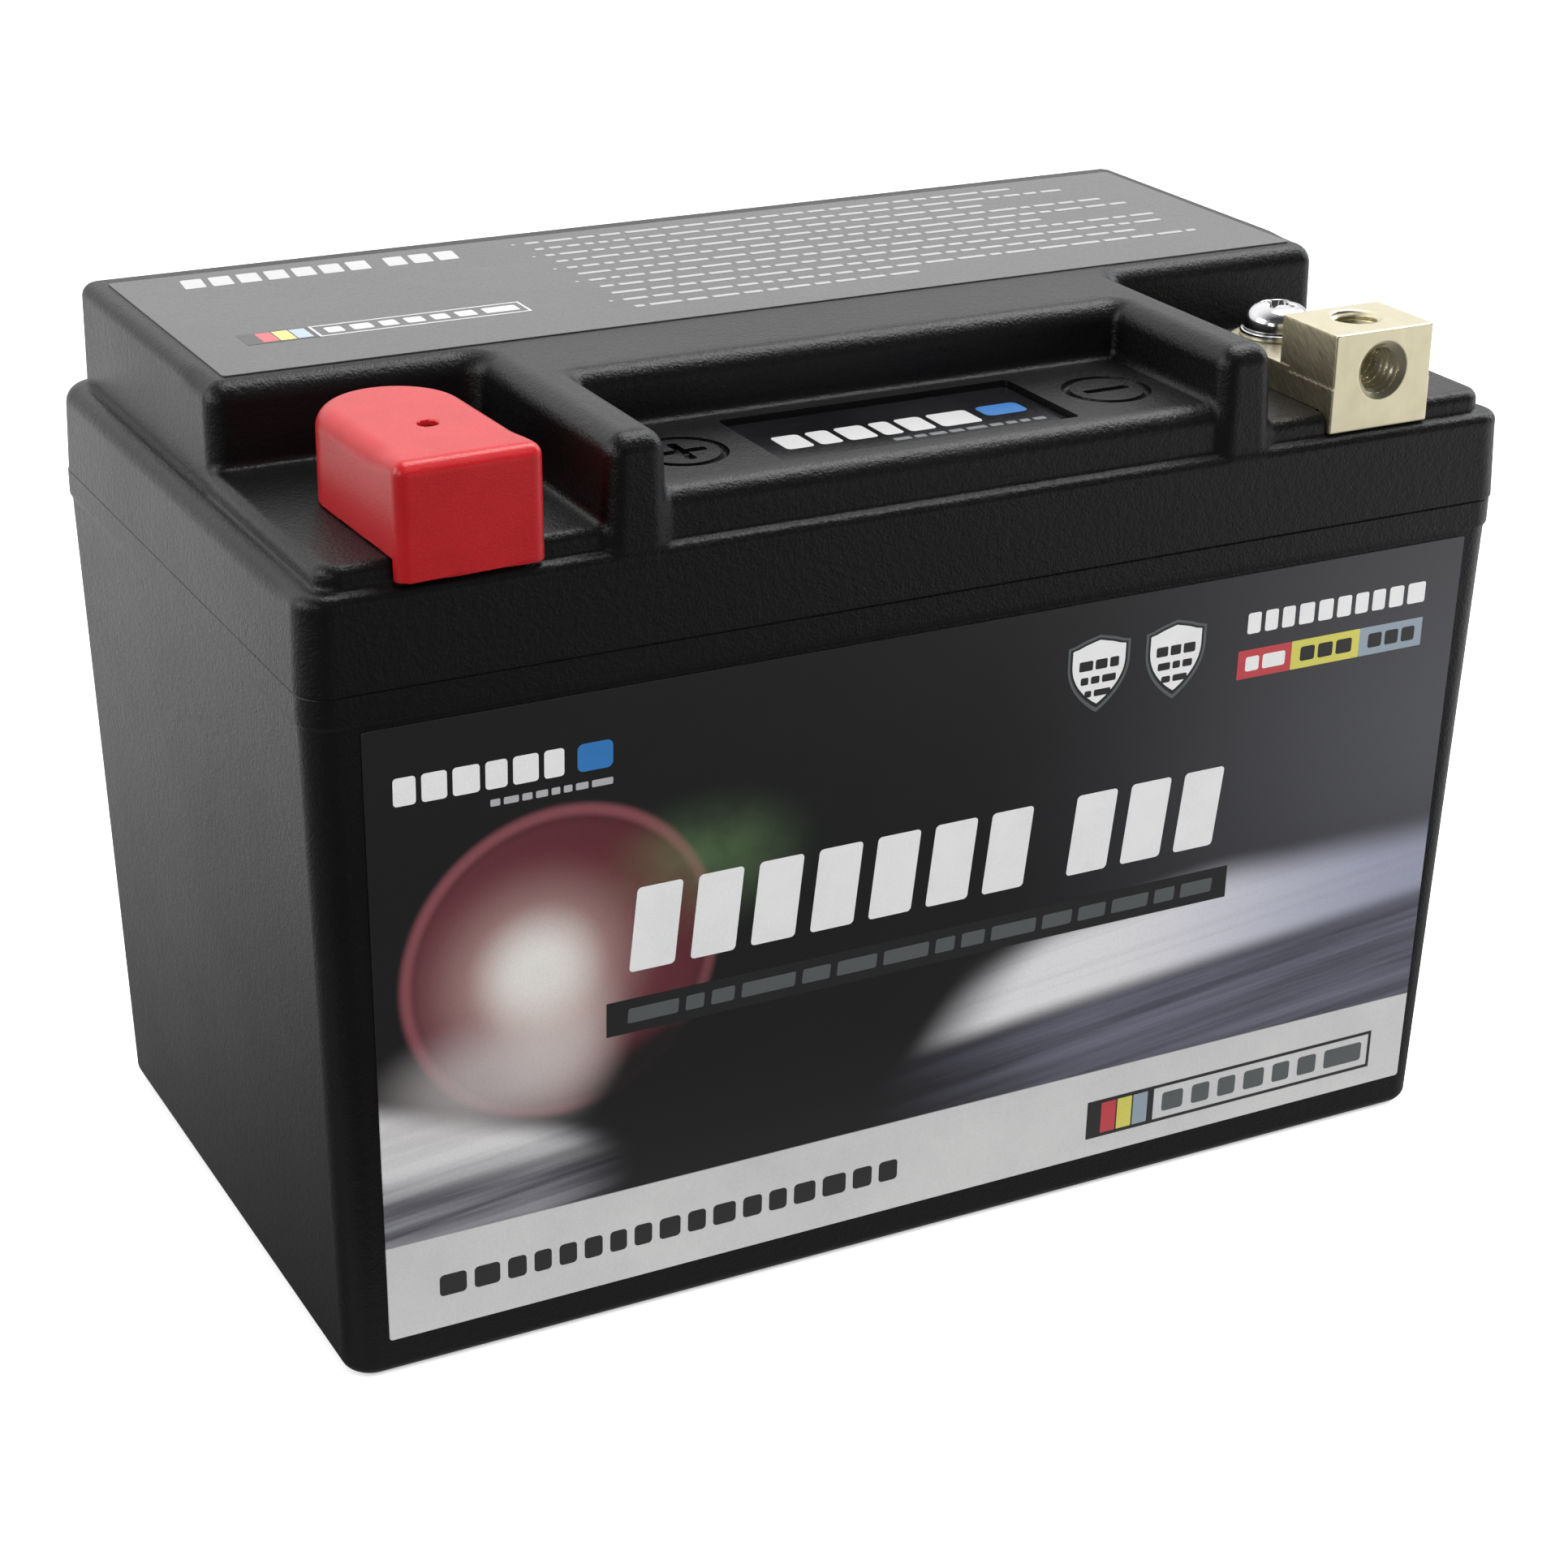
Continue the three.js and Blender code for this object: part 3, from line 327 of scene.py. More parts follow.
class Nodes:
    """A material's node tree, with a short way to write sums of nodes."""

    def __init__(self, name):
        self.mat = bpy.data.materials.new(name)
        self.mat.use_nodes = True
        self.t = self.mat.node_tree
        self.t.nodes.clear()
        self.out = self.t.nodes.new("ShaderNodeOutputMaterial")
        self.b = self.t.nodes.new("ShaderNodeBsdfPrincipled")
        self.t.links.new(self.b.outputs[0], self.out.inputs[0])
        self.tc = self.t.nodes.new("ShaderNodeTexCoord")
        self.obj = self.tc.outputs["Object"]

    def put(self, socket, value):
        if hasattr(value, "is_output"):
            self.t.links.new(value, socket)
        else:
            socket.default_value = value

    def math(self, op, a, b=0.0, c=None, clamp=False):
        n = self.t.nodes.new("ShaderNodeMath")
        n.operation = op
        n.use_clamp = clamp
        self.put(n.inputs[0], a)
        self.put(n.inputs[1], b)
        if c is not None:
            self.put(n.inputs[2], c)
        return n.outputs[0]

    def vmath(self, op, a, b=(0, 0, 0), scale=None):
        n = self.t.nodes.new("ShaderNodeVectorMath")
        n.operation = op
        self.put(n.inputs[0], a)
        self.put(n.inputs[1], b)
        if scale is not None:
            self.put(n.inputs["Scale"], scale)
        return n.outputs["Value"] if op in ("LENGTH", "DOT_PRODUCT", "DISTANCE") else n.outputs[0]

    def xyz(self, v=None):
        n = self.t.nodes.new("ShaderNodeSeparateXYZ")
        self.put(n.inputs[0], self.obj if v is None else v)
        return n.outputs[0], n.outputs[1], n.outputs[2]

    def vec(self, x, y, z):
        n = self.t.nodes.new("ShaderNodeCombineXYZ")
        for i, v in enumerate((x, y, z)):
            self.put(n.inputs[i], v)
        return n.outputs[0]

    def noise(self, scale, detail=2.0, rough=0.5, vector=None, distortion=0.0, out="Fac"):
        n = self.t.nodes.new("ShaderNodeTexNoise")
        self.put(n.inputs["Vector"], self.obj if vector is None else vector)
        n.inputs["Scale"].default_value = scale
        n.inputs["Detail"].default_value = detail
        n.inputs["Roughness"].default_value = rough
        n.inputs["Distortion"].default_value = distortion
        return n.outputs[0] if out == "Fac" else n.outputs[1]

    def voronoi(self, scale, feature="F1", vector=None, randomness=1.0):
        n = self.t.nodes.new("ShaderNodeTexVoronoi")
        n.feature = feature
        self.put(n.inputs["Vector"], self.obj if vector is None else vector)
        n.inputs["Scale"].default_value = scale
        n.inputs["Randomness"].default_value = randomness
        return n.outputs["Distance"]

    def remap(self, v, a, b, c=0.0, d=1.0, smooth=False):
        n = self.t.nodes.new("ShaderNodeMapRange")
        n.interpolation_type = "SMOOTHSTEP" if smooth else "LINEAR"
        n.clamp = True
        self.put(n.inputs[0], v)
        for i, q in enumerate((a, b, c, d)):
            n.inputs[1 + i].default_value = q
        return n.outputs[0]

    def mix(self, fac, a, b):
        n = self.t.nodes.new("ShaderNodeMix")
        n.data_type = "RGBA"
        n.clamp_factor = True
        self.put(n.inputs["Factor"], fac)
        for s, v in ((n.inputs[6], a), (n.inputs[7], b)):
            if hasattr(v, "is_output"):
                self.t.links.new(v, s)
            else:
                s.default_value = (*v, 1.0) if len(v) == 3 else v
        return n.outputs[2]

    def bump(self, height, strength, distance, normal=None):
        n = self.t.nodes.new("ShaderNodeBump")
        n.inputs["Strength"].default_value = strength
        n.inputs["Distance"].default_value = distance
        self.put(n.inputs["Height"], height)
        if normal is not None:
            self.put(n.inputs["Normal"], normal)
        return n.outputs[0]

    def color(self, v):
        self.put(self.b.inputs["Base Color"], (*v, 1.0) if isinstance(v, tuple) else v)

    def set(self, **kw):
        names = {"metal": "Metallic", "rough": "Roughness", "spec": "Specular IOR Level", "coat": "Coat Weight",
                 "coat_rough": "Coat Roughness", "coat_ior": "Coat IOR", "normal": "Normal", "sheen": "Sheen Weight",
                 "sheen_rough": "Sheen Roughness", "ior": "IOR", "aniso": "Anisotropic", "sub": "Subsurface Weight",
                 "sub_scale": "Subsurface Scale", "coat_normal": "Coat Normal"}
        for k, v in kw.items():
            self.put(self.b.inputs[names[k]], v)
        return self


def plastic(name, color, rough, grain=0.30, depth=0.5, tone=0.25, spec=0.5):
    """Moulded plastic with a sand grain: grain is its pitch in mm."""
    n = Nodes(name)
    k = 1000.0 / grain
    fine = n.noise(k, 3.0, 0.6)
    coarse = n.noise(k / 3.1, 2.0, 0.5)
    wide = n.noise(45.0, 3.0, 0.55)
    lo = tuple(c * (1 - tone) for c in color)
    hi = tuple(min(1.0, c * (1 + tone)) for c in color)
    n.color(n.mix(n.remap(n.math("ADD", n.math("MULTIPLY", fine, 0.6), n.math("MULTIPLY", wide, 0.4)), 0.3, 0.7), lo, hi))
    h = n.math("ADD", n.math("MULTIPLY", fine, 0.8), n.math("MULTIPLY", coarse, 0.55))
    n.set(rough=n.remap(n.math("ADD", fine, n.math("MULTIPLY", wide, 0.6)), 0.4, 1.1, rough - 0.07, rough + 0.08),
          normal=n.bump(h, depth, grain * 0.0004), spec=spec)
    return n.mat


def metal(name, color, rough, brush=None, tone=0.12, scale=900.0, depth=0.15, axis=(1, 1, 1), distance=0.00002):
    """Metal with fine tool marks: brush stretches the marks along one axis."""
    n = Nodes(name)
    v = n.obj
    if brush is not None:
        v = n.vmath("MULTIPLY", n.obj, brush)
    marks = n.noise(scale, 4.0, 0.65, vector=v)
    blot = n.noise(260.0, 3.0, 0.6)
    lo = tuple(c * (1 - tone) for c in color)
    n.color(n.mix(n.remap(n.math("ADD", n.math("MULTIPLY", marks, 0.6), n.math("MULTIPLY", blot, 0.4)), 0.32, 0.68), lo, color))
    n.set(metal=1.0, rough=n.remap(n.math("ADD", marks, blot), 0.7, 1.3, rough - 0.06, rough + 0.1),
          normal=n.bump(marks, depth, distance))
    return n.mat


M = {}
M["case_plastic"] = plastic("case_plastic", (0.0030, 0.0029, 0.0031), 0.32, grain=0.34, depth=0.80, tone=0.30, spec=0.23)
M["holder_plastic"] = plastic("holder_plastic", (0.045, 0.047, 0.053), 0.5, grain=0.5, depth=0.3)
M["chip_plastic"] = plastic("chip_plastic", (0.017, 0.017, 0.018), 0.42, grain=0.12, depth=0.25, tone=0.15)
M["white_nylon"] = plastic("white_nylon", (0.70, 0.68, 0.60), 0.42, grain=0.6, depth=0.15, tone=0.05)
M["foam"] = plastic("foam", (0.035, 0.035, 0.038), 0.92, grain=0.8, depth=0.9, tone=0.35, spec=0.2)
M["nickel"] = metal("nickel", (0.66, 0.64, 0.58), 0.26, brush=(0.08, 1, 1), scale=2600.0)
M["copper"] = metal("copper", (0.80, 0.40, 0.25), 0.24, brush=(1, 0.08, 1), scale=2600.0)
M["aluminium"] = metal("aluminium", (0.70, 0.71, 0.72), 0.34, scale=5200.0, depth=0.3)
M["screw_steel"] = metal("screw_steel", (0.62, 0.62, 0.63), 0.12, scale=1500.0, tone=0.10, depth=0.10)


def brass_material():
    n = Nodes("brass")
    x, y, z = n.xyz()
    # drawn faces are satin; the sawn sides carry coarse vertical scratches
    geo = n.t.nodes.new("ShaderNodeNewGeometry")
    nx, ny, nz = n.xyz(geo.outputs["Normal"])
    side = n.remap(n.math("ABSOLUTE", nx), 0.55, 0.9)
    satin = n.noise(9000.0, 3.0, 0.6)
    drawn = n.noise(1700.0, 3.0, 0.6, vector=n.vmath("MULTIPLY", n.obj, (1.0, 1.0, 0.06)))
    slant = n.math("ADD", n.math("MULTIPLY", y, 0.80), n.math("MULTIPLY", z, 0.60))
    across = n.math("SUBTRACT", n.math("MULTIPLY", z, 0.80), n.math("MULTIPLY", y, 0.60))
    sawn = n.noise(2600.0, 4.0, 0.70, vector=n.vec(x, n.math("MULTIPLY", slant, 0.16), across), distortion=0.35)
    nick = n.remap(n.noise(5200.0, 2.0, 0.5, vector=n.vec(x, slant, n.math("MULTIPLY", across, 0.10))), 0.66, 0.74)
    blot = n.noise(330.0, 3.0, 0.6)
    fine = n.math("ADD", n.math("MULTIPLY", satin, 0.5), n.math("MULTIPLY", drawn, 0.5))
    base = n.mix(n.remap(blot, 0.3, 0.7), (0.56, 0.51, 0.35), (0.62, 0.575, 0.415))
    dark = n.mix(n.remap(sawn, 0.32, 0.66), (0.50, 0.43, 0.265), (0.84, 0.77, 0.57))
    dark = n.mix(n.math("MULTIPLY", nick, 0.6), dark, (0.86, 0.80, 0.60))
    n.color(n.mix(side, base, dark))
    h = n.math("ADD", n.math("MULTIPLY", n.math("MULTIPLY", sawn, side), 1.0), n.math("MULTIPLY", fine, 0.3))
    n.set(metal=1.0, rough=n.math("ADD", n.math("MULTIPLY", fine, 0.16), n.math("ADD", 0.24, n.math("MULTIPLY", side, 0.14))),
          normal=n.bump(h, 0.55, 0.00004))
    return n.mat


def cap_material():
    n = Nodes("cap_red")
    fine = n.noise(5200.0, 2.0, 0.5)
    wide = n.noise(130.0, 3.0, 0.6)
    speck = n.remap(n.noise(7600.0, 1.0, 0.4), 0.66, 0.74)
    body = n.mix(n.remap(wide, 0.3, 0.7), (0.31, 0.0065, 0.009), (0.36, 0.009, 0.012))
    n.color(n.mix(speck, body, (0.35, 0.012, 0.016)))
    n.set(rough=n.remap(fine, 0.3, 0.7, 0.26, 0.37), normal=n.bump(n.math("ADD", fine, n.math("MULTIPLY", wide, 1.5)), 0.30, 0.00008), spec=0.32,
          sub=0.05, sub_scale=0.0012)
    n.b.inputs["Subsurface Radius"].default_value = (1.0, 0.12, 0.10)
    return n.mat


def sleeve_material():
    n = Nodes("cell_sleeve")
    x, y, z = n.xyz()
    wrinkle = n.noise(900.0, 3.0, 0.55, vector=n.vmath("MULTIPLY", n.obj, (1, 1, 0.2)))
    fine = n.noise(6000.0, 2.0, 0.5)
    sleeve = n.mix(n.remap(wrinkle, 0.3, 0.7), (0.020, 0.105, 0.235), (0.032, 0.150, 0.310))
    # bare nickelled can at both ends
    top = n.remap(z, 0.0655, 0.0658)
    low = n.remap(z, 0.0119, 0.0116)
    ends = n.math("MAXIMUM", n.remap(z, 0.07055, 0.07065), n.remap(z, 0.00745, 0.00735))
    n.color(n.mix(ends, sleeve, (0.62, 0.60, 0.55)))
    n.set(rough=n.remap(wrinkle, 0.3, 0.7, 0.26, 0.40), metal=ends, normal=n.bump(n.math("ADD", wrinkle, n.math("MULTIPLY", fine, 0.2)), 0.25, 0.0001), coat=0.25)
    n.b.inputs["Coat Roughness"].default_value = 0.2
    return n.mat


def board_material():
    n = Nodes("circuit_board")
    x, y, z = n.xyz()
    lines_x = n.math("ABSOLUTE", n.math("SUBTRACT", n.math("FRACT", n.math("MULTIPLY", x, 260.0)), 0.5))
    lines_y = n.math("ABSOLUTE", n.math("SUBTRACT", n.math("FRACT", n.math("MULTIPLY", y, 310.0)), 0.5))
    zone = n.remap(n.noise(60.0, 1.0, 0.5), 0.46, 0.52)
    trace = n.mix(zone, n.vec(lines_x, lines_x, lines_x), n.vec(lines_y, lines_y, lines_y))
    tx, ty, tz = n.xyz(trace)
    line = n.remap(tx, 0.17, 0.2, 1.0, 0.0)
    fine = n.noise(4000.0, 2.0, 0.5)
    glass = n.voronoi(1800.0)
    mask = n.mix(line, (0.010, 0.075, 0.026), (0.020, 0.135, 0.050))
    n.color(n.mix(n.math("MULTIPLY", fine, 0.3), mask, (0.006, 0.045, 0.018)))
    n.set(rough=n.remap(fine, 0.3, 0.7, 0.26, 0.38), normal=n.bump(n.math("ADD", n.math("MULTIPLY", line, 0.7), n.math("MULTIPLY", glass, 0.2)), 0.35, 0.00006), coat=0.35)
    n.b.inputs["Coat Roughness"].default_value = 0.16
    return n.mat


M["brass"] = brass_material()
M["cap_red"] = cap_material()
M["cell_sleeve"] = sleeve_material()
M["circuit_board"] = board_material()


def paint(ob, slot, material=None):
    ob.data.materials.clear()
    ob.data.materials.append(material or M[slot])
    return ob


# ------------------------------------------------------------- reference sizes

B = {n: [c / MM for c in (*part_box(n)[0], *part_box(n)[1])] for n in nodes}      # lo xyz, hi xyz in mm
LX = B["lid"][3]                      # half length over the rim
LY = B["lid"][4]
TOP = B["lid"][5]
SEAM = B["case_tub"][5]
TX = {t: (B[f"terminal_block_{t}"][0] + B[f"terminal_block_{t}"][3]) / 2 for t in ("neg", "pos")}
SX = {t: (B[f"terminal_screw_{t}"][0] + B[f"terminal_screw_{t}"][3]) / 2 for t in ("neg", "pos")}
SY = (B["terminal_screw_neg"][1] + B["terminal_screw_neg"][4]) / 2
RIM = 92.8
PAD = 95.4
DECK = 98.3

# ------------------------------------------------------------------------ case

FOOT, NECK, COLLAR = (72.6, 41.1), (74.62, 43.12), (74.88, 43.38)


def draft(z):
    t = z / 78.2
    return [FOOT[i] + (NECK[i] - FOOT[i]) * t for i in (0, 1)]


def make_case():
    rings = []

    def ring(h, z, r, inset=0.0):
        hx, hy = h[0] - inset, h[1] - inset
        rings.append(ring_rect(-hx, hx, -hy, hy, max(r, 0.1), z, 14))
    steps = 8
    fr = 1.5
    for k in range(steps):
        a = math.pi / 2 * k / steps
        z = fr * (1 - math.cos(a))
        ins = fr * (1 - math.sin(a))
        ring(draft(z), z, 3.4 - 0.85 * ins, ins)
    ring(draft(fr), fr, 3.4)
    for z in (12, 26, 40, 54, 66, 74, 77.6):
        ring(draft(z), z, 3.4)
    ring(NECK, 78.2, 3.4)
    for z, t in ((78.5, 0.10), (78.75, 0.42), (79.0, 0.85), (79.25, 1.0)):
        ring([NECK[i] + (COLLAR[i] - NECK[i]) * t for i in (0, 1)], z, 3.4)
    ring(COLLAR, 80.4, 3.4)
    for k in range(5):
        a = math.pi / 2 * k / 4
        ring(COLLAR, SEAM - 0.22 + 0.22 * math.sin(a), 3.4 - 0.22 * (1 - math.cos(a)), 0.22 * (1 - math.cos(a)))
    outer = loft("case_outer", rings)
    t = 2.4
    inner = []
    for z, h in ((3.0, draft(3.0)), (40, draft(40)), (78.2, NECK), (SEAM + 1, NECK)):
        inner.append(ring_rect(-h[0] + t, h[0] - t, -h[1] + t, h[1] - t, 1.6, z, 8))
    cut = loft("case_inner", inner, None)
    boolean(outer, cut)
    shade(outer, 30)
    return outer


case = make_case()
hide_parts("case_tub")
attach(paint(case, "case_plastic"), "battery")

# ------------------------------------------------------------------------- lid

BOX0, BOX1, BOXX = -8.0, 40.9, 72.1


def lid_f(x, y, z):
    t = 0.24 * np.clip((z - 82.55) / 8.05, 0, 1)
    r = np.where(y > 0, 4.6, 3.4)
    d = rect(x, y, -75 + t, 75 - t, -43.5 + t, 43.5 - t, r)
    rim = both(both(d, z - RIM, 1.3 + 1.0 * np.clip((y + 42.0) / 6.0, 0, 1)), 82.2 - z, 0.22)
    g = 0.012 * (z - 90)
    ax = np.abs(x)
    box = rect(x, y, -BOXX + g, BOXX - g, BOX0 + g, BOX1 - g, 2.2)
    cy = -19.9 - 0.03 * (105 - z)
    mid = rect(x, y, -37.4, 37.4, cy, -2.0, 0.3)
    wall = rect(ax, y, 34.3 - 0.02 * (105 - z), 40.9 + 0.05 * (105 - z), -43.05 + 0.02 * (z - 90), -2.0, 2.1)
    plan = either(either(wall, mid, 0.9), box, 2.4)
    upper = both(plan, z - 105.0, 1.6 + 0.9 * np.clip((1.0 - y) / 4.0, 0, 1))
    deck = both(rect(x, y, -38, 38, -42.1 + 0.02 * (z - 90), -15.0, 0.05), z - DECK, 2.5)
    pads = both(rect(ax, y, 36.5, 72.2, -42.0, -5.6, 2.6), z - PAD, 1.3)
    s = either(upper, deck, 1.0)
    s = either(s, pads, 0.9)
    s = both(s, 91.0 - z, 0.35)
    s = either(s, rim, 0.4)
    return s


def make_lid():
    e = 0.36
    xf = [(-75.4, -69.6, e), (-44.2, -33.2, e), (33.2, 44.2, e), (69.6, 75.4, e)]
    yf = [(-43.9, -38.8, e), (-21.6, -17.6, e), (-11.4, -5.4, e), (37.8, 43.9, e)]
    zf = [(81.9, 82.9, 0.16), (89.9, 105.4, 0.32)]
    ob = net_object("lid_shell", lid_f, lines(-75.6, 75.6, 2.4, *xf), lines(-44.1, 44.1, 2.4, *yf), lines(81.8, 105.5, 2.2, *zf))
    # hollow underside
    t = 2.5
    cuts = [
        (-75 + t, 75 - t, -43.5 + t, 43.5 - t, SEAM + 2.2, RIM - 2.3, 1.5),
        (-70.37, 70.37, -38.87, 38.87, SEAM - 1, SEAM + 3, 0.8),
        (-BOXX + t, BOXX - t, BOX0 + t, BOX1 - t, RIM - 4, TOP - t, 0.8),
        (-32.2, 32.2, -17.4, BOX0 + t + 2, RIM - 4, TOP - t, 0.3),
        (-32.2, 32.2, -39.6, -16.4, RIM - 4, 97.3 - 1.9, 0.3),
    ]
    for s in (-1, 1):
        a, b = sorted((s * 41.3, s * 69.7))
        cuts.append((a, b, -39.5, BOX0 + t + 1, RIM - 4, PAD - 2.4, 0.3))
        a, b = sorted((s * 36.3, s * 38.6))
        cuts.append((a, b, -40.65, -21.9, RIM - 4, TOP - 2.4, 0.3))
    for i, c in enumerate(cuts):
        boolean(ob, prism(f"cut{i}", *c[:6], r=c[6], seg=5, smooth=None))
    # bosses and the locating lip
    for tag in ("neg", "pos"):
        boolean(ob, lathe("boss", [(0, 88.4), (7.2, 88.4), (7.2, PAD - 1), (0, PAD - 1)], TX[tag], SY, 64, None), "UNION")
    lip = prism("lip", -71.97, 71.97, -40.47, 40.47, SEAM - 3, SEAM + 0.6, r=1.4, seg=8, smooth=None)
    boolean(lip, prism("lip_in", -70.37, 70.37, -38.87, 38.87, SEAM - 4, SEAM + 4, r=0.8, seg=8, smooth=None))
    boolean(ob, lip, "UNION")
    # insert bores and the notches for the blocks' front lips
    for tag in ("neg", "pos"):
        boolean(ob, lathe("bore", [(0, 87), (5, 87), (5, PAD + 1), (0, PAD + 1)], SX[tag], SY, 64, None))
        w = 6.88 + 0.3
        boolean(ob, prism("notch", TX[tag] - w, TX[tag] + w, -45.0, -39.8, 92.9, PAD + 2, r=0.25, bottom=0.2, seg=3, smooth=None))
    # label recess
    rc = B["label_deck"]
    boolean(ob, prism("recess", rc[0] - 0.15, rc[3] + 0.15, rc[1] - 0.15, rc[4] + 0.15, rc[2], DECK + 2, r=0.5, seg=5, smooth=None))
    # engraved polarity rings
    for sx, plus in ((-27.2, True), (26.4, False)):
        R = 4.70
        groove = []
        for k in range(13):
            a = math.pi * k / 12
            groove.append((R + 0.46 * math.cos(a), DECK - 0.70 * math.sin(a)))
        groove += [(R - 0.46, DECK + 0.6), (R + 0.46, DECK + 0.6)]
        boolean(ob, lathe("groove", groove[::-1], sx, -30.8, 96, None, closed=True))
        bars = [(2.9, 0.58)] + ([(0.58, 2.9)] if plus else [])
        cross = None
        for bx, by in bars:
            p = prism("bar", sx - bx, sx + bx, -30.8 - by, -30.8 + by, DECK - 0.70, DECK + 0.8, r=0.35, bottom=0.25, seg=5, smooth=None)
            cross = p if cross is None else boolean(cross, p, "UNION")
        boolean(ob, cross)
    shade(ob, 38)
    return ob


lid = make_lid()
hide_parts("lid")
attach(paint(lid, "case_plastic"), "battery")

# --------------------------------------------------------------- brass blocks


def block_f(cx, detail=True):
    y0, y1 = B["terminal_block_neg"][1], -32.0
    z0, z1 = B["terminal_block_neg"][2], B["terminal_block_neg"][5]
    tongue, step = 99.05, 98.35
    fz, ty = 99.9, -36.5

    def f(x, y, z):
        u = x - cx
        w = 6.8 + 0.08 * np.clip((step - z) / 0.12, 0, 1)
        if detail:
            wob = 0.5 + 0.5 * np.sin(y * 5.1 + 1.3) * np.sin(y * 11.7 + 0.4)
            w = w + 0.11 * wob * np.exp(-((z - step + 0.02 * np.sin(y * 4.0)) / 0.14) ** 2)
        r = 0.16
        cube = both(rect(u, y, -w, w, y0, y1, r), z - z1, r)
        cube = both(cube, z0 - z, r)
        foot = np.maximum(cube, -(np.maximum(z - PAD, (y0 + 2.3) - y)))
        end = -23.95
        plan = np.where(y > end, length(u, y - end) - 6.88, np.maximum(np.abs(u) - 6.88, (y1 - 2.0) - y))
        tong = both(both(plan, z - tongue, r), PAD - z, 0.05)
        s = np.minimum(foot, tong)
        # front tapped hole
        p = 1.0
        rr = length(u, z - fz)
        depth = y - y0
        ph = np.mod(depth / p - np.arctan2(z - fz, u) / (2 * np.pi), 1.0)
        tooth = np.clip(np.abs(ph - 0.5) * 2.5 - 0.12, 0, 1)
        R = 2.45 + 0.55 * tooth
        R = np.maximum(R, 3.42 - 1.7 * depth)
        hole = np.maximum((rr - R) * 0.75, depth - 8.6 - np.maximum(0, (2.5 - rr) * 0.5))
        s = np.maximum(s, -hole)
        # top tapped hole
        rr = length(u - 0.15, y - ty)
        depth = z1 - z
        ph = np.mod(depth / p - np.arctan2(y - ty, u - 0.15) / (2 * np.pi), 1.0)
        tooth = np.clip(np.abs(ph - 0.5) * 2.5 - 0.12, 0, 1)
        R = 2.5 + 0.40 * tooth
        R = np.maximum(R, 3.15 - 1.7 * depth)
        hole = np.maximum((rr - R) * 0.75, depth - 4.7)
        s = np.maximum(s, -hole)
        # clearance hole for the clamping screw
        hole = length(u, y - SY) - 2.6
        return np.maximum(s, -np.maximum(hole, (PAD - 2) - z))
    return f


def make_block(tag, step):
    cx = TX[tag]
    xs = lines(cx - 7.3, cx + 7.3, step)
    ys = lines(-42.9, -16.8, 0.5, (-42.9, -31.6, step))
    zs = lines(92.8, 105.0, step)
    ob = net_object(f"block_{tag}", block_f(cx, tag == "neg"), xs, ys, zs, smooth=42, weighted=False)
    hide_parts(f"terminal_block_{tag}")
    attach(paint(ob, "brass"), "battery")
    return ob


fine = 0.15
make_block("neg", fine)
make_block("pos", 0.3)

# ------------------------------------------------------------ screws, washers


def make_screw(tag, step):
    cx, cy = SX[tag], SY
    z0 = 99.05 + 0.85
    z1 = B[f"terminal_screw_{tag}"][5]
    H = z1 - z0
    c, s = math.cos(0.5), math.sin(0.5)

    def f(x, y, z):
        u, v = x - cx, y - cy
        r = length(u, v)
        q = np.clip((z - z0) / H, 0, None)
        dome = ((np.minimum(r / 4.02, 3) ** 2.7 + q ** 2.7) ** (1 / 2.7) - 1) * 3.1
        head = both(dome, z0 - z, 0.25)
        p, w = u * c + v * s, -u * s + v * c
        dep = z1 - z
        L = 2.25 - 0.55 * dep
        W = 0.50 - 0.10 * dep
        arms = np.minimum(np.maximum(np.abs(p) - L, np.abs(w) - W), np.maximum(np.abs(w) - L, np.abs(p) - W))
        core = r - (1.25 - 0.45 * dep)
        rec = np.maximum(either(arms, core, 0.25), dep - 1.9)
        head = cutaway(head, rec * 0.8, 0.08)
        ph = np.mod((z - 90) / 0.7 - np.arctan2(v, u) / (2 * np.pi), 1.0)
        shank = r - (1.72 + 0.26 * np.clip(np.abs(ph - 0.5) * 2.4 - 0.1, 0, 1) - 0.9 * np.clip(90.0 - z, 0, 2))
        shank = np.maximum(np.maximum(shank * 0.7, z - z0 - 0.5), 89.2 - z)
        return np.minimum(head, shank)
    xs = lines(cx - 4.3, cx + 4.3, step)
    ys = lines(cy - 4.3, cy + 4.3, step)
    zs = lines(89.0, z1 + 0.2, 0.17, (z0 - 0.3, z1 + 0.2, step))
    ob = net_object(f"screw_{tag}", f, xs, ys, zs, smooth=48, weighted=False)
    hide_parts(f"terminal_screw_{tag}")
    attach(paint(ob, "screw_steel"), "battery")
    z = 99.05
    t = 0.85
    e = 0.16
    prof = []
    for rc, zc, a0 in ((2.1 + e, z + e, 180), (4.4 - e, z + e, 270), (4.4 - e, z + t - e, 0), (2.1 + e, z + t - e, 90)):
        for k in range(4):
            a = math.radians(a0 + 90 * k / 3)
            prof.append((rc + e * math.cos(a), zc + e * math.sin(a)))
    wa = lathe(f"washer_{tag}_ring", prof, cx, cy, 96, 50, closed=True)
    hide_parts(f"washer_{tag}")
    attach(paint(wa, "screw_steel"), "battery")


make_screw("neg", 0.09)
make_screw("pos", 0.16)

# ------------------------------------------------------------------------- cap

CAPX = -56.75


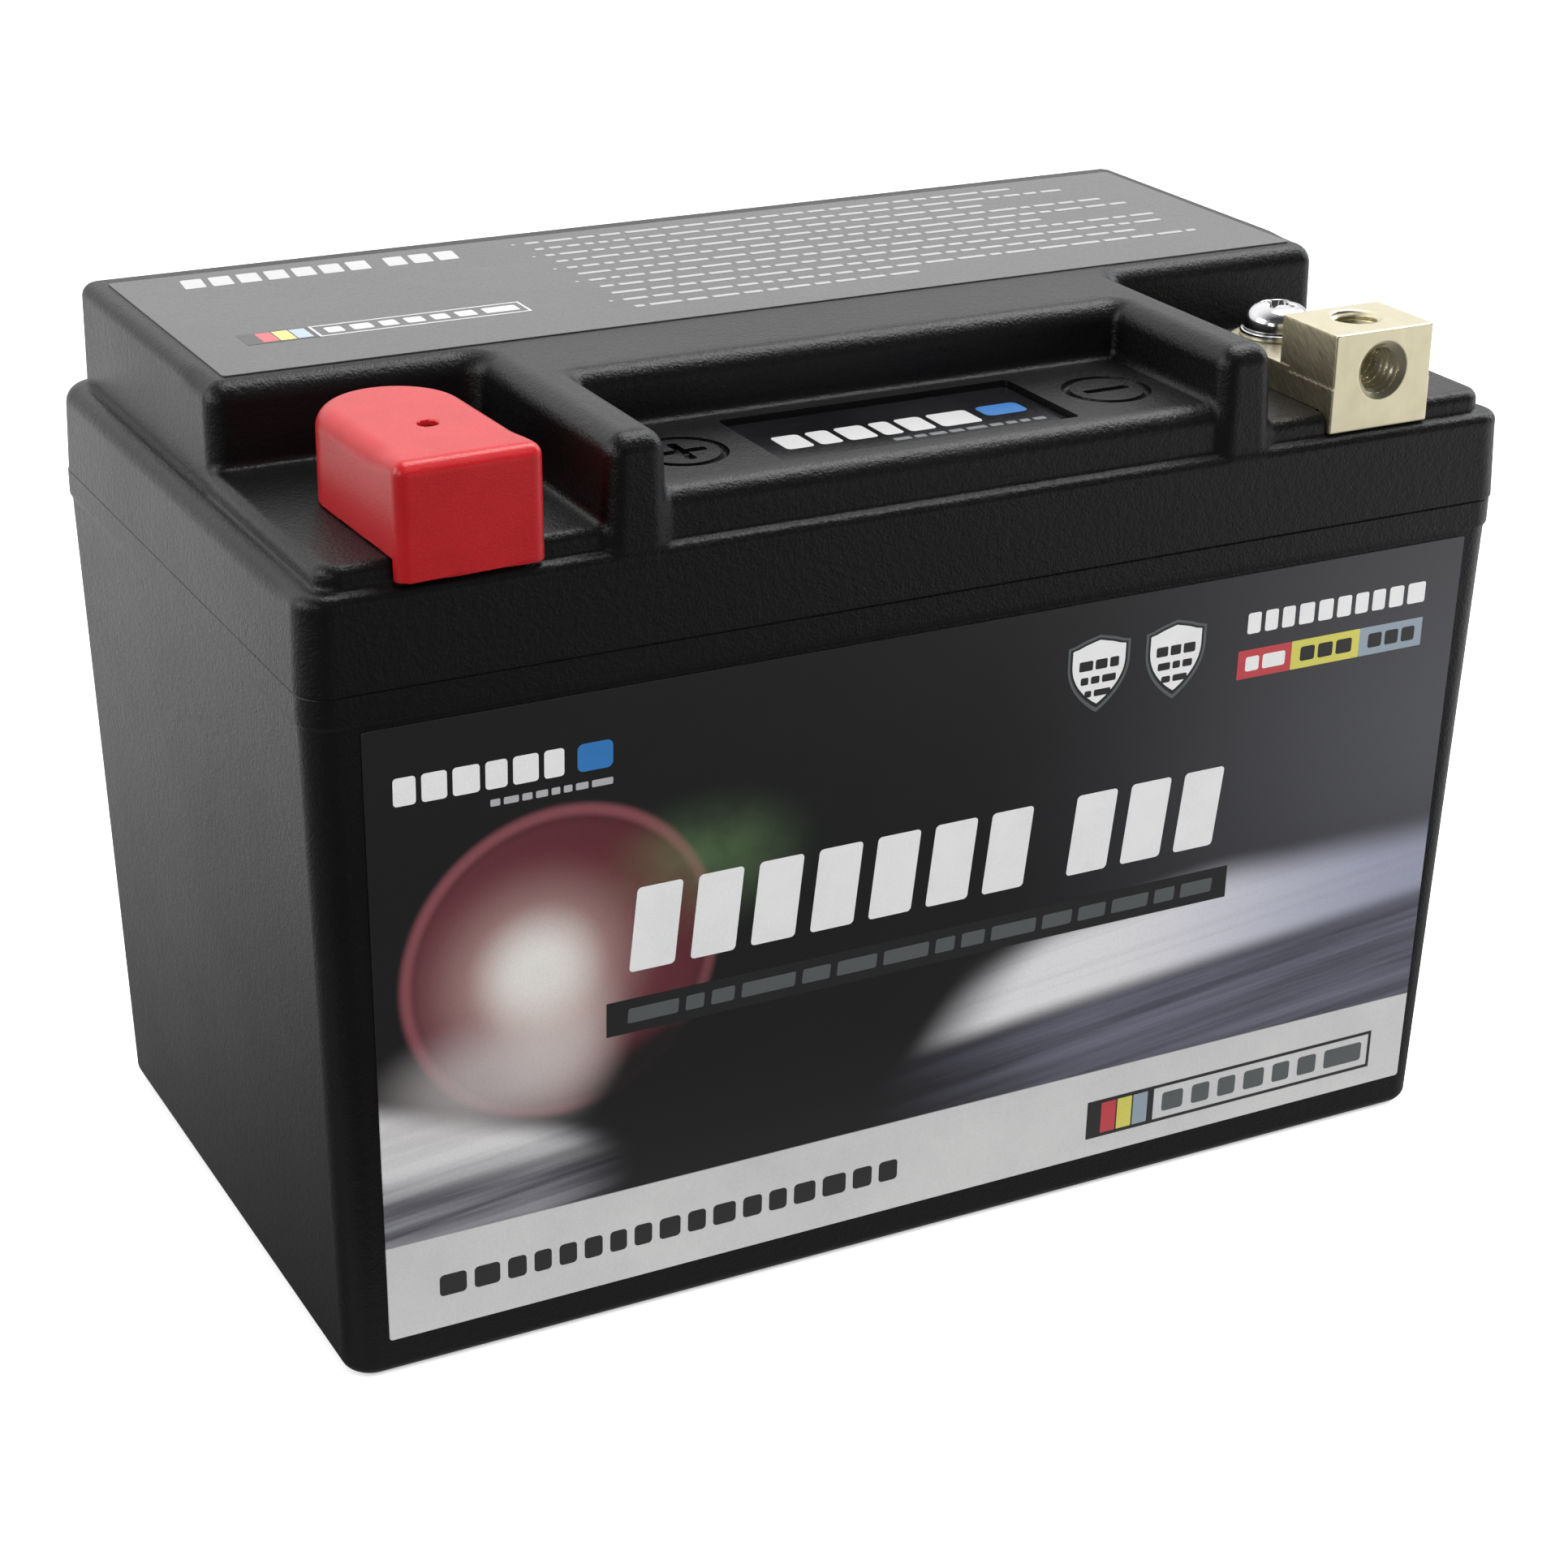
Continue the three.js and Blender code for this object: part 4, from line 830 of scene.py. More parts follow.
def cap_f(x, y, z):
    a = math.radians(-2)
    u = (x - CAPX) * math.cos(a) - (y + 33) * math.sin(a)
    v = (x - CAPX) * math.sin(a) + (y + 33) * math.cos(a)
    y0, y1, w = -43.6 + 33, -15.9 + 33, 8.2
    r = np.where(v > 3.0, w, 1.35)
    d = rect(u, v, -w, w, y0, y1, r) + 0.006 * (z - 95)
    q = np.clip((v + 9.0) / 5.0, 0, 1)
    e = 1.45 + 0.85 * q * q * (3 - 2 * q)
    outer = both(d, z - 105.7, e)
    inner = both(d + 0.8, z - 104.9, e - 0.6)
    s = cutaway(outer, inner, 0.12)
    gone = np.maximum(z - 95.5, -(y + 42.25))
    s = cutaway(s, gone, 0.12)
    s = both(s, 93.2 - z, 0.12)
    # vent
    return cutaway(s, np.maximum(length(x - CAPX - 0.3, y + 32.1) - 1.12, 102.0 - z), 0.15)


def make_cap():
    st = 0.24
    ob = net_object("cap_shell", cap_f, lines(CAPX - 9.3, CAPX + 9.3, st), lines(-44.4, -15.0, st * 1.2, (-44.4, -40.6, st)), lines(92.9, 106.0, st), smooth=40, weighted=True)
    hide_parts("terminal_cap")
    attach(paint(ob, "cap_red"), "cap")
    return ob


make_cap()


# ------------------------------------------------------------- printed labels

FRONT_TILT = (NECK[1] - FOOT[1]) / 78.2


def on_front(u, v, lift):
    return (u, -(FOOT[1] + FRONT_TILT * v) - 0.18 - lift, v)


def on_top(u, v, lift):
    return (u, v, 105.15 + lift)


def on_deck(u, v, lift):
    return (u, v, B["label_deck"][5] + lift)


def pill(x0, x1, y0, y1, r=0.2, slant=0.0, seg=4):
    """Rounded bar, leaning by slant per mm of height."""
    pts = [(p[0] + slant * (p[1] - y0), p[1]) for p in ring_rect(x0, x1, y0, y1, min(r, (x1 - x0) / 2.01, (y1 - y0) / 2.01), 0, seg)]
    return pts


def box_line(x0, x1, y0, y1, w):
    return [pill(x0, x1, y0, y0 + w, 0.02, seg=1), pill(x0, x1, y1 - w, y1, 0.02, seg=1),
            pill(x0, x0 + w, y0 + w, y1 - w, 0.02, seg=1), pill(x1 - w, x1, y0 + w, y1 - w, 0.02, seg=1)]


def dashes(x0, x1, y0, y1, seed, lo, hi, gap, r=0.25, slant=0.0):
    """A row of plain bars of uneven length between x0 and x1."""
    out, x, k = [], x0, seed * 7.31
    while x < x1 - lo * 0.6:
        k += 1.0
        s = math.sin(k * 12.9898) * 43758.5453
        w = lo + (hi - lo) * (s - math.floor(s))
        if x1 - x - w < lo + gap:
            w = x1 - x
        out.append(pill(x, x + w, y0, y1, r, slant))
        x += w + gap
    return out


def shield(cx, y0, y1, half, inset=0.0):
    """A plain heater shield, point down."""
    w = half - inset
    y0, y1 = y0 + 1.7 * inset, y1 - inset
    h = y1 - y0
    flank = [(w * (1 - (1 - k / 14) ** 2.1), h * 0.66 * (k / 14) ** 1.05) for k in range(15)]
    flank += [(w, h * 0.88), (w * 0.78, h * 0.90), (w * 0.5, h * 0.945), (0, h)]
    full = flank + [(-p[0], p[1]) for p in flank[::-1][1:-1]]
    return [(cx + p[0], y0 + p[1]) for p in full]


def decals(name, items, surface, body="battery", thick=0.06, proud=0.02):
    """Thin ink islands laid on a surface. items: (polygon, ink)."""
    inks = sorted({i for _, i in items})
    verts, faces, mats = [], [], []
    for poly, ink in items:
        area = sum(a[0] * b[1] - b[0] * a[1] for a, b in zip(poly, poly[1:] + poly[:1]))
        if area < 0:
            poly = poly[::-1]
        n, k = len(poly), len(verts)
        verts += [surface(u, v, proud - thick) for u, v in poly] + [surface(u, v, proud) for u, v in poly]
        faces.append(tuple(range(k + n - 1, k - 1, -1)))
        faces.append(tuple(range(k + n, k + 2 * n)))
        faces += [(k + i, k + (i + 1) % n, k + n + (i + 1) % n, k + n + i) for i in range(n)]
        mats += [inks.index(ink)] * (n + 2)
    ob = finish_mesh(name, verts, faces)
    for i in inks:
        ob.data.materials.append(INK[i])
    ob.data.polygons.foreach_set("material_index", mats)
    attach(ob, body)
    return ob


def ink(name, color, rough=0.34, metal=0.0):
    n = Nodes(name)
    dots = n.voronoi(5200.0)
    wide = n.noise(160.0, 3.0, 0.6)
    fine = n.noise(7000.0, 2.0, 0.5)
    lo = tuple(c * 0.90 for c in color)
    n.color(n.mix(n.remap(n.math("ADD", n.math("MULTIPLY", dots, 0.35), n.math("MULTIPLY", wide, 0.65)), 0.25, 0.6), lo, color))
    n.set(rough=n.remap(fine, 0.3, 0.7, rough - 0.05, rough + 0.06), normal=n.bump(fine, 0.05, 0.00002), coat=0.15)
    n.b.inputs["Coat Roughness"].default_value = 0.3
    return n.mat


INK = {
    "white": ink("ink_white", (0.78, 0.78, 0.78)),
    "pale": ink("ink_pale", (0.40, 0.40, 0.41)),
    "grey": ink("ink_grey", (0.085, 0.095, 0.097)),
    "mist": ink("ink_mist", (0.26, 0.26, 0.26)),
    "soft": ink("ink_soft", (0.36, 0.36, 0.36)),
    "deep": ink("ink_deep", (0.012, 0.095, 0.27)),
    "black": ink("ink_black", (0.013, 0.013, 0.014)),
    "red": ink("ink_red", (0.48, 0.050, 0.060)),
    "yellow": ink("ink_yellow", (0.62, 0.58, 0.11)),
    "slate": ink("ink_slate", (0.27, 0.33, 0.39)),
    "blue": ink("ink_blue", (0.030, 0.17, 0.45)),
}


def front_film():
    n = Nodes("label_film")
    x0, y0, z0 = n.xyz()
    x = n.math("MULTIPLY", x0, 1000.0)
    z = n.math("MULTIPLY", z0, 1000.0)
    A, S, P = (lambda a, b: n.math("ADD", a, b)), (lambda a, b: n.math("SUBTRACT", a, b)), (lambda a, b: n.math("MULTIPLY", a, b))

    def dist(cx, cz, kx=1.0, kz=1.0):
        return n.vmath("LENGTH", n.vec(P(S(x, cx), kx), P(S(z, cz), kz), 0.0))
    # ground: charcoal, with a cool haze to the right
    haze = P(n.remap(x, 2, 78, smooth=True), P(n.remap(z, 18, 50, 0.4, 1.0, smooth=True), n.remap(z, 82, 52, 0.5, 1.0, smooth=True)))
    col = n.mix(haze, (0.0085, 0.0085, 0.0092), (0.072, 0.073, 0.084))
    # bands of light low on the label
    lean = S(z, P(x, 0.095))
    strokes = n.noise(1.0, 4.0, 0.6, vector=n.vec(P(x, 0.014), P(lean, 0.42), 0.0))
    thin = n.noise(1.0, 3.0, 0.6, vector=n.vec(P(x, 0.008), P(lean, 1.1), 3.0))
    beam_lo = A(24.4, P(x, 0.080))
    beam_hi = A(A(33.6, P(x, 0.112)), S(n.remap(x, 2, 20, 0.0, 2.4, smooth=True), A(n.remap(x, 36, 50, 0.0, 1.3, smooth=True), n.remap(x, 42, 76, 0.0, 2.8, smooth=True))))
    below = P(n.remap(S(beam_lo, z), -1.5, 1.0, smooth=True), n.remap(x, -10, 26, smooth=True))
    ground = n.mix(n.remap(strokes, 0.36, 0.64), (0.052, 0.051, 0.070), (0.150, 0.148, 0.200))
    ground = n.mix(n.remap(thin, 0.60, 0.66, smooth=True), ground, (0.022, 0.022, 0.030))
    col = n.mix(P(below, n.remap(z, 16, 19, 0.75, 1.0)), col, ground)
    col = n.mix(P(n.remap(z, 29, 21, smooth=True), n.remap(x, -38, -52, smooth=True)), col, n.mix(n.remap(strokes, 0.38, 0.6), (0.07, 0.07, 0.085), (0.26, 0.26, 0.29)))
    inside = P(n.remap(S(z, beam_lo), -0.5, 2.6, smooth=True), n.remap(S(beam_hi, z), -2.2, 3.8, smooth=True))
    reach = n.remap(S(x, P(S(z, 25.5), 0.8)), -5.0, 8.0, smooth=True)
    bright = n.remap(x, 18, 74, 1.0, 0.46, smooth=True)
    beam = P(P(inside, reach), P(bright, n.remap(thin, 0.30, 0.50, 0.90, 1.0)))
    col = n.mix(beam, col, n.mix(n.remap(x, 20, 70, smooth=True), (0.74, 0.735, 0.755), (0.60, 0.62, 0.81)))
    left_hi = A(34.0, P(A(x, 66.0), -0.36))
    left = P(P(n.remap(S(left_hi, z), -0.5, 3.5, smooth=True), n.remap(z, 20.5, 26.5, smooth=True)), n.remap(x, -36, -52, smooth=True))
    col = n.mix(P(left, n.remap(strokes, 0.3, 0.6, 0.75, 1.0)), col, (0.69, 0.68, 0.69))
    # soft halo about a lamp
    d = dist(-47.2, 47.0)
    disc = P(n.remap(d, 19.4, 16.0, smooth=True), n.remap(d, 2, 16, 1.0, 0.70))
    warm = n.remap(A(x, P(z, 0.5)), -60, 5, smooth=True)
    col = n.mix(P(disc, 0.85), col, n.mix(warm, (0.235, 0.062, 0.078), (0.150, 0.026, 0.036)))
    rim = P(P(n.remap(n.math("ABSOLUTE", S(d, 18.0)), 1.15, 0.1, smooth=True), 0.48), n.remap(S(z, P(x, 0.6)), 40, 82, 0.35, 1.0))
    col = n.mix(rim, col, (0.40, 0.125, 0.145))
    shade_ = P(n.remap(dist(-24.0, 28.0, 1.0, 2.0), 24.0, 17.5, smooth=True), 0.96)
    col = n.mix(shade_, col, (0.0085, 0.0085, 0.009))
    fog = n.noise(0.11, 3.0, 0.6, vector=n.vec(x, z, 0.0))
    tint = P(P(n.remap(dist(-30.0, 55.5, 0.8, 1.25), 12.0, 0.5, smooth=True), n.remap(fog, 0.3, 0.65, 0.45, 1.0, smooth=True)), 0.36)
    col = n.mix(tint, col, (0.17, 0.30, 0.13))
    glow = n.remap(dist(-50.0, 46.0), 15.5, 2.5, smooth=True)
    col = n.mix(P(glow, 0.62), col, (0.62, 0.46, 0.42))
    core = n.remap(dist(-50.0, 46.5), 9.0, 1.5, smooth=True)
    col = n.mix(P(core, 0.95), col, (0.78, 0.77, 0.735))
    fall = P(n.remap(dist(-48.0, 38.0, 1.0, 0.8), 10.0, 1.0, smooth=True), 0.55)
    col = n.mix(fall, col, (0.70, 0.64, 0.60))
    mist = n.remap(dist(-55.5, 34.5, 0.75, 1.35), 12.5, 1.5, smooth=True)
    col = n.mix(P(mist, 0.62), col, (0.60, 0.555, 0.555))
    # pale band along the foot
    band = n.remap(z, 16.35, 16.50, 1.0, 0.0)
    wide = n.noise(90.0, 3.0, 0.6)
    col = n.mix(band, col, n.mix(n.remap(wide, 0.3, 0.7), (0.565, 0.565, 0.565), (0.63, 0.63, 0.625)))
    # cut edge and fine screen of the print
    dots = n.voronoi(4200.0)
    col = n.mix(n.remap(dots, 0.2, 0.8, 0.0, 0.07), col, (0.0, 0.0, 0.0))
    n.color(col)
    fine = n.noise(2600.0, 3.0, 0.55)
    n.set(rough=n.remap(n.math("ADD", fine, wide), 0.7, 1.3, 0.30, 0.40), normal=n.bump(n.math("ADD", fine, P(wide, 1.5)), 0.10, 0.00004), coat=0.10, spec=0.40)
    n.b.inputs["Coat Roughness"].default_value = 0.22
    return n.mat


def dark_film(name, gloss, coat=0.0, spec=0.25, dark=(0.004, 0.004, 0.0045), light=(0.007, 0.007, 0.008)):
    n = Nodes(name)
    wide = n.noise(70.0, 3.0, 0.6)
    fine = n.noise(3000.0, 3.0, 0.55)
    scuff = n.remap(n.noise(900.0, 4.0, 0.7, vector=n.vmath("MULTIPLY", n.obj, (0.15, 1, 1))), 0.62, 0.78)
    base = n.mix(n.remap(wide, 0.3, 0.7), dark, light)
    n.color(n.mix(n.math("MULTIPLY", scuff, 0.12), base, (0.10, 0.10, 0.105)))
    n.set(rough=n.remap(n.math("ADD", fine, n.math("MULTIPLY", wide, 0.8)), 0.6, 1.2, gloss - 0.06, gloss + 0.08), normal=n.bump(n.math("ADD", fine, n.math("MULTIPLY", wide, 2.0)), 0.10, 0.00004), coat=coat, spec=spec)
    n.b.inputs["Coat Roughness"].default_value = 0.25
    return n.mat


M["label_film"] = front_film()
M["label_top"] = dark_film("label_top_film", 0.36, 0.4, 0.45, (0.016, 0.016, 0.0165), (0.026, 0.026, 0.027))
M["label_dark"] = dark_film("label_dark", 0.16)


def film(name, corners, back, front, r, seg=6):
    """Film with rounded corners. corners: x0, x1 at the foot, x0, x1 at the head, v0, v1."""
    a0, a1, b0, b1, v0, v1 = corners
    pts = []
    w, h = a1 - a0, v1 - v0
    for u, v, _ in ring_rect(0, w, 0, h, r, 0, seg):
        t = v / h
        left, right = a0 + (b0 - a0) * t, a1 + (b1 - a1) * t
        pts.append((left + (right - left) * u / w, v0 + v))
    n = len(pts)
    inner = []
    cx, cy = sum(p[0] for p in pts) / n, sum(p[1] for p in pts) / n
    e = 0.05
    for p in pts:
        dx, dy = p[0] - cx, p[1] - cy
        inner.append((p[0] - math.copysign(min(e, abs(dx)), dx), p[1] - math.copysign(min(e, abs(dy)), dy)))
    verts = [back(*p) for p in pts] + [front(p[0], p[1], -e) for p in pts] + [front(p[0], p[1], 0.0) for p in inner]
    faces = [tuple(range(n - 1, -1, -1)), tuple(range(2 * n, 3 * n))]
    for k in (0, n):
        faces += [(k + i, k + (i + 1) % n, k + n + (i + 1) % n, k + n + i) for i in range(n)]
    return finish_mesh(name, verts, faces)


lf = B["label_front"]
front = film("front_label", (-68.2, 69.4, -69.1, 70.1, 4.5, 78.0), lambda u, v: on_front(u, v, -0.19), on_front, 0.35)
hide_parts("label_front")
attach(paint(front, "label_film"), "battery")
lt = B["label_top"]
top = film("top_label", (lt[0], lt[3], lt[0], lt[3], lt[1], lt[4]), lambda u, v: (u, v, 104.99), on_top, 0.4)
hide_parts("label_top")
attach(paint(top, "label_film", M["label_top"]), "battery")
ld = B["label_deck"]
deck = film("deck_label", (ld[0], ld[3], ld[0], ld[3], ld[1], ld[4]), lambda u, v: (u, v, 97.31), on_deck, 0.5)
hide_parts("label_deck")
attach(paint(deck, "label_dark"), "battery")

# ink on the front label
items = []
add = lambda polys, k: items.extend((p, k) for p in (polys if isinstance(polys[0], list) else [polys]))
for k in range(7):
    x = -39.3 + 7.42 * k
    add(pill(x, x + 5.5, 44.0, 54.1, 0.5, 0.10), "white")
for k in range(3):
    x = 16.6 + 7.42 * k
    add(pill(x, x + 5.5, 44.0, 54.1, 0.5, 0.10), "white")
add(pill(-42.0, 39.6, 36.5, 40.7, 0.1), "black")
strip = dashes(-39.5, 37.4, 37.7, 39.5, 3, 2.2, 6.8, 0.9, 0.25, 0.08)
for cx, half, y0, y1 in ((19.2, 4.15, 64.4, 73.9), (29.6, 4.10, 64.2, 74.0)):
    add(shield(cx, y0, y1, half), "grey")
add(pill(38.5, 46.1, 64.9, 68.5, 0.1), "red")
add(pill(46.1, 55.9, 64.9, 68.5, 0.1), "yellow")
add(pill(55.9, 65.1, 64.9, 68.5, 0.1), "slate")
add(dashes(39.5, 65.0, 70.5, 73.1, 8, 1.6, 2.3, 0.62, 0.3), "white")
add(dashes(-65.9, -46.8, 69.1, 72.3, 5, 2.2, 3.3, 0.62, 0.4), "white")
add(pill(-45.3, -41.2, 69.1, 72.3, 0.7, seg=6), "blue")
add(dashes(-55.2, -41.2, 67.1, 67.9, 9, 0.8, 2.3, 0.4, 0.15), "pale")
add(dashes(-62.2, -4.4, 8.6, 11.3, 6, 2.0, 3.3, 0.95, 0.5), "black")
add(pill(22.0, 31.2, 7.0, 12.2, 0.1), "black")
add(box_line(31.2, 64.4, 7.0, 12.2, 0.42), "black")
add(dashes(32.9, 63.0, 8.3, 10.9, 4, 2.4, 3.2, 1.3, 0.4), "grey")
decals("front_print", items, on_front)
items = []
for cx, half, y0, y1 in ((19.2, 4.15, 64.4, 73.9), (29.6, 4.10, 64.2, 74.0)):
    add(shield(cx, y0, y1, half, 0.32), "black")
decals("front_print_inline", items, on_front, proud=0.028)
items = []
add(strip, "grey")
for cx, half, y0, y1 in ((19.2, 4.15, 64.4, 73.9), (29.6, 4.10, 64.2, 74.0)):
    add(shield(cx, y0, y1, half, 0.62), "white")
decals("front_print_field", items, on_front, proud=0.036)
items = []
for cx, half, y0, y1 in ((19.2, 4.15, 64.4, 73.9), (29.6, 4.10, 64.2, 74.0)):
    add(dashes(cx - 2.6, cx + 2.7, 69.7, 70.9, int(cx), 1.0, 2.0, 0.35, 0.2), "black")
    add(dashes(cx - 2.3, cx + 2.4, 68.0, 68.9, int(cx) + 2, 1.0, 1.8, 0.35, 0.2), "black")
    add(dashes(cx - 1.7, cx + 1.8, 66.4, 67.2, int(cx) + 3, 0.9, 1.4, 0.35, 0.2), "black")
for x0, x1, c in ((39.6, 45.2, "white"), (47.4, 54.8, "black"), (57.2, 64.0, "black")):
    add(dashes(x0, x1, 65.8, 67.6, int(x0), 1.5, 2.4, 0.5, 0.3), c)
for x0, c in ((24.1, "red"), (26.4, "yellow"), (28.7, "slate")):
    add(pill(x0 - 0.1, x0 + 2.0, 7.5, 11.7, 0.1), c)
decals("front_print_over", items, on_front, proud=0.044)

# ink on the top label
items = []
for k in range(7):
    x = -61.9 + 3.42 * k
    add(pill(x, x + 2.6, 30.4, 34.4, 0.3, 0.12), "soft")
for k in range(3):
    x = -36.6 + 3.3 * k
    add(pill(x, x + 2.5, 30.4, 34.4, 0.3, 0.12), "soft")
add(box_line(-54.6, -29.0, 4.7, 9.1, 0.32), "pale")
add(dashes(-53.2, -30.0, 5.8, 8.0, 7, 1.9, 2.6, 1.0, 0.3), "pale")
add(pill(-63.0, -54.6, 4.7, 9.1, 0.1), "black")
for r in range(11):
    y = 33.2 - 3.22 * r
    x1 = (52, 58, 44, 60, 62, 47, 62, 61, 55, 62, 20)[r]
    if r in (0, 2, 4, 6, 9):
        add(pill(-19.4, -18.9, y + 0.2, y + 0.7, 0.2), "mist")
    add(dashes(-17.6, x1, y, y + 0.85, 20 + r, 1.1, 4.6, 0.7, 0.22), "mist")
decals("top_print", items, on_top)
items = []
for x0, c in ((-61.0, "red"), (-59.0, "yellow"), (-57.0, "slate")):
    add(pill(x0, x0 + 1.8, 5.1, 8.7, 0.1), c)
decals("top_print_over", items, on_top, proud=0.035)

# ink on the deck label
items = []
add(dashes(-15.6, 8.9, -33.2, -28.6, 12, 2.2, 3.6, 0.8, 0.6), "soft")
add(pill(10.2, 15.6, -31.9, -28.4, 0.9, seg=6), "deep")
add(dashes(-3.5, 15.8, -35.4, -34.5, 14, 0.9, 2.6, 0.5, 0.2), "grey")
decals("deck_print", items, on_deck)

# ---------------------------------------------------- pieces kept from the CAD

KEEP = {
    "brass": ["terminal_insert_neg", "terminal_insert_pos"],
    "foam": ["foam_pad_floor"],
    "holder_plastic": ["cell_holder_lower", "cell_holder_upper", "bms_tray"],
    "cell_sleeve": [f"cell_{i:02d}" for i in range(1, 13)],
    "nickel": ["link_floor_a", "link_floor_b", "link_top_pos", "link_top_mid", "link_top_neg"],
    "circuit_board": ["bms_board"],
    "white_nylon": [f"bms_post_{i}" for i in range(1, 5)],
    "chip_plastic": [f"mosfet_{i}" for i in range(1, 5)] + ["bms_controller"],
    "aluminium": ["heat_spreader"],
    "copper": ["strap_pos", "strap_b_minus", "strap_neg", "shunt_resistor"],
}
for slot, names in KEEP.items():
    for nme in names:
        ob = nodes[nme]
        ob.data.materials.clear()
        ob.data.materials.append(M[slot])
ob = nodes["balance_socket"]
ob.data.materials.clear()
ob.data.materials.append(M["white_nylon"])

# ---------------------------------------------------------------------- camera

AZ, EL, ROLL = (math.radians(a) for a in (27.6691, 23.5617, 0.6549))
fw = Vector((math.sin(AZ) * math.cos(EL), math.cos(AZ) * math.cos(EL), -math.sin(EL)))
right = Vector((math.cos(AZ), -math.sin(AZ), 0))
up = right.cross(fw)
R = math.cos(ROLL) * right + math.sin(ROLL) * up
U = -math.sin(ROLL) * right + math.cos(ROLL) * up
cam_data = bpy.data.cameras.new("camera")
cam_data.sensor_width = 36.0
cam_data.lens = 3976.3726 / 1932 * 36.0
cam_data.clip_start = 0.01
cam_data.clip_end = 50
cam = bpy.data.objects.new("camera", cam_data)
cam.matrix_world = Matrix(((R.x, U.x, -fw.x, -0.1703384), (R.y, U.y, -fw.y, -0.3281876), (R.z, U.z, -fw.z, 0.2035419), (0, 0, 0, 1)))
bpy.context.scene.collection.objects.link(cam)
bpy.context.scene.camera = cam

# ---------------------------------------------------------------- light, floor


def area(name, loc, aim, size, power, color=(1, 1, 1), size_y=None):
    l = bpy.data.lights.new(name, "AREA")
    l.shape = "RECTANGLE"
    l.size = size
    l.size_y = size_y or size
    l.energy = power
    l.color = color
    ob = bpy.data.objects.new(name, l)
    d = Vector(aim) - Vector(loc)
    ob.rotation_mode = "QUATERNION"
    ob.rotation_quaternion = d.to_track_quat("-Z", "Y")
    ob.location = loc
    bpy.context.scene.collection.objects.link(ob)
    ob.visible_camera = False
    return ob


area("light_top", (0.34, 0.06, 0.80), (0, 0, 0.08), 0.40, 7.0, size_y=0.62)
area("light_left", (-0.85, 0.12, 0.42), (0, 0, 0.05), 0.55, 4.6)
area("light_corner", (-0.68, -0.50, 0.36), (0.02, -0.04, 0.09), 0.22, 1.3)
area("light_right", (0.95, 0.10, 0.50), (0, 0, 0.05), 0.5, 3.0, (0.95, 0.97, 1.0))
area("light_front", (0.25, -0.75, 0.85), (0, 0, 0.05), 0.6, 12.5).visible_glossy = False

world = bpy.data.worlds.new("world")
bpy.context.scene.world = world
world.use_nodes = True
wt = world.node_tree
wt.nodes.clear()
wo = wt.nodes.new("ShaderNodeOutputWorld")
tc = wt.nodes.new("ShaderNodeTexCoord")
sep = wt.nodes.new("ShaderNodeSeparateXYZ")
wt.links.new(tc.outputs["Generated"], sep.inputs[0])


def wmap(sock, a, b, c, d):
    m = wt.nodes.new("ShaderNodeMapRange")
    m.interpolation_type = "SMOOTHSTEP"
    wt.links.new(sock, m.inputs[0])
    for i, q in enumerate((a, b, c, d)):
        m.inputs[1 + i].default_value = q
    return m.outputs[0]


def wmath(op, a, b):
    m = wt.nodes.new("ShaderNodeMath")
    m.operation = op
    for i, v in enumerate((a, b)):
        if hasattr(v, "is_output"):
            wt.links.new(v, m.inputs[i])
        else:
            m.inputs[i].default_value = v
    return m.outputs[0]


back = wmath("MULTIPLY", wmap(sep.outputs[1], -0.35, 0.75, 0.08, 1.47), wmap(sep.outputs[2], 0.0, 0.5, 0.55, 1.05))
side = wmath("MULTIPLY", wmap(wmath("ABSOLUTE", sep.outputs[0], 0.0), 0.60, 0.95, 0.0, 0.75), wmap(sep.outputs[1], -0.65, -0.15, 0.0, 1.0))
high = wmap(wmath("ADD", sep.outputs[2], wmath("MULTIPLY", sep.outputs[1], 0.6)), 0.5, 1.2, 0.0, 0.7)
level = wmath("MAXIMUM", wmath("MAXIMUM", back, side), high)
tintn = wt.nodes.new("ShaderNodeMix")
tintn.data_type = "RGBA"
wt.links.new(wmap(sep.outputs[0], 0.5, 1.0, 0.0, 1.0), tintn.inputs["Factor"])
tintn.inputs[6].default_value = (1.0, 1.0, 1.0, 1)
tintn.inputs[7].default_value = (0.93, 0.96, 1.0, 1)
bg = wt.nodes.new("ShaderNodeBackground")
wt.links.new(tintn.outputs[2], bg.inputs[0])
wt.links.new(level, bg.inputs[1])
white = wt.nodes.new("ShaderNodeBackground")
white.inputs[0].default_value = (1, 1, 1, 1)
white.inputs[1].default_value = 1.0
lp = wt.nodes.new("ShaderNodeLightPath")
ms = wt.nodes.new("ShaderNodeMixShader")
wt.links.new(lp.outputs["Is Camera Ray"], ms.inputs[0])
wt.links.new(bg.outputs[0], ms.inputs[1])
wt.links.new(white.outputs[0], ms.inputs[2])
wt.links.new(ms.outputs[0], wo.inputs[0])

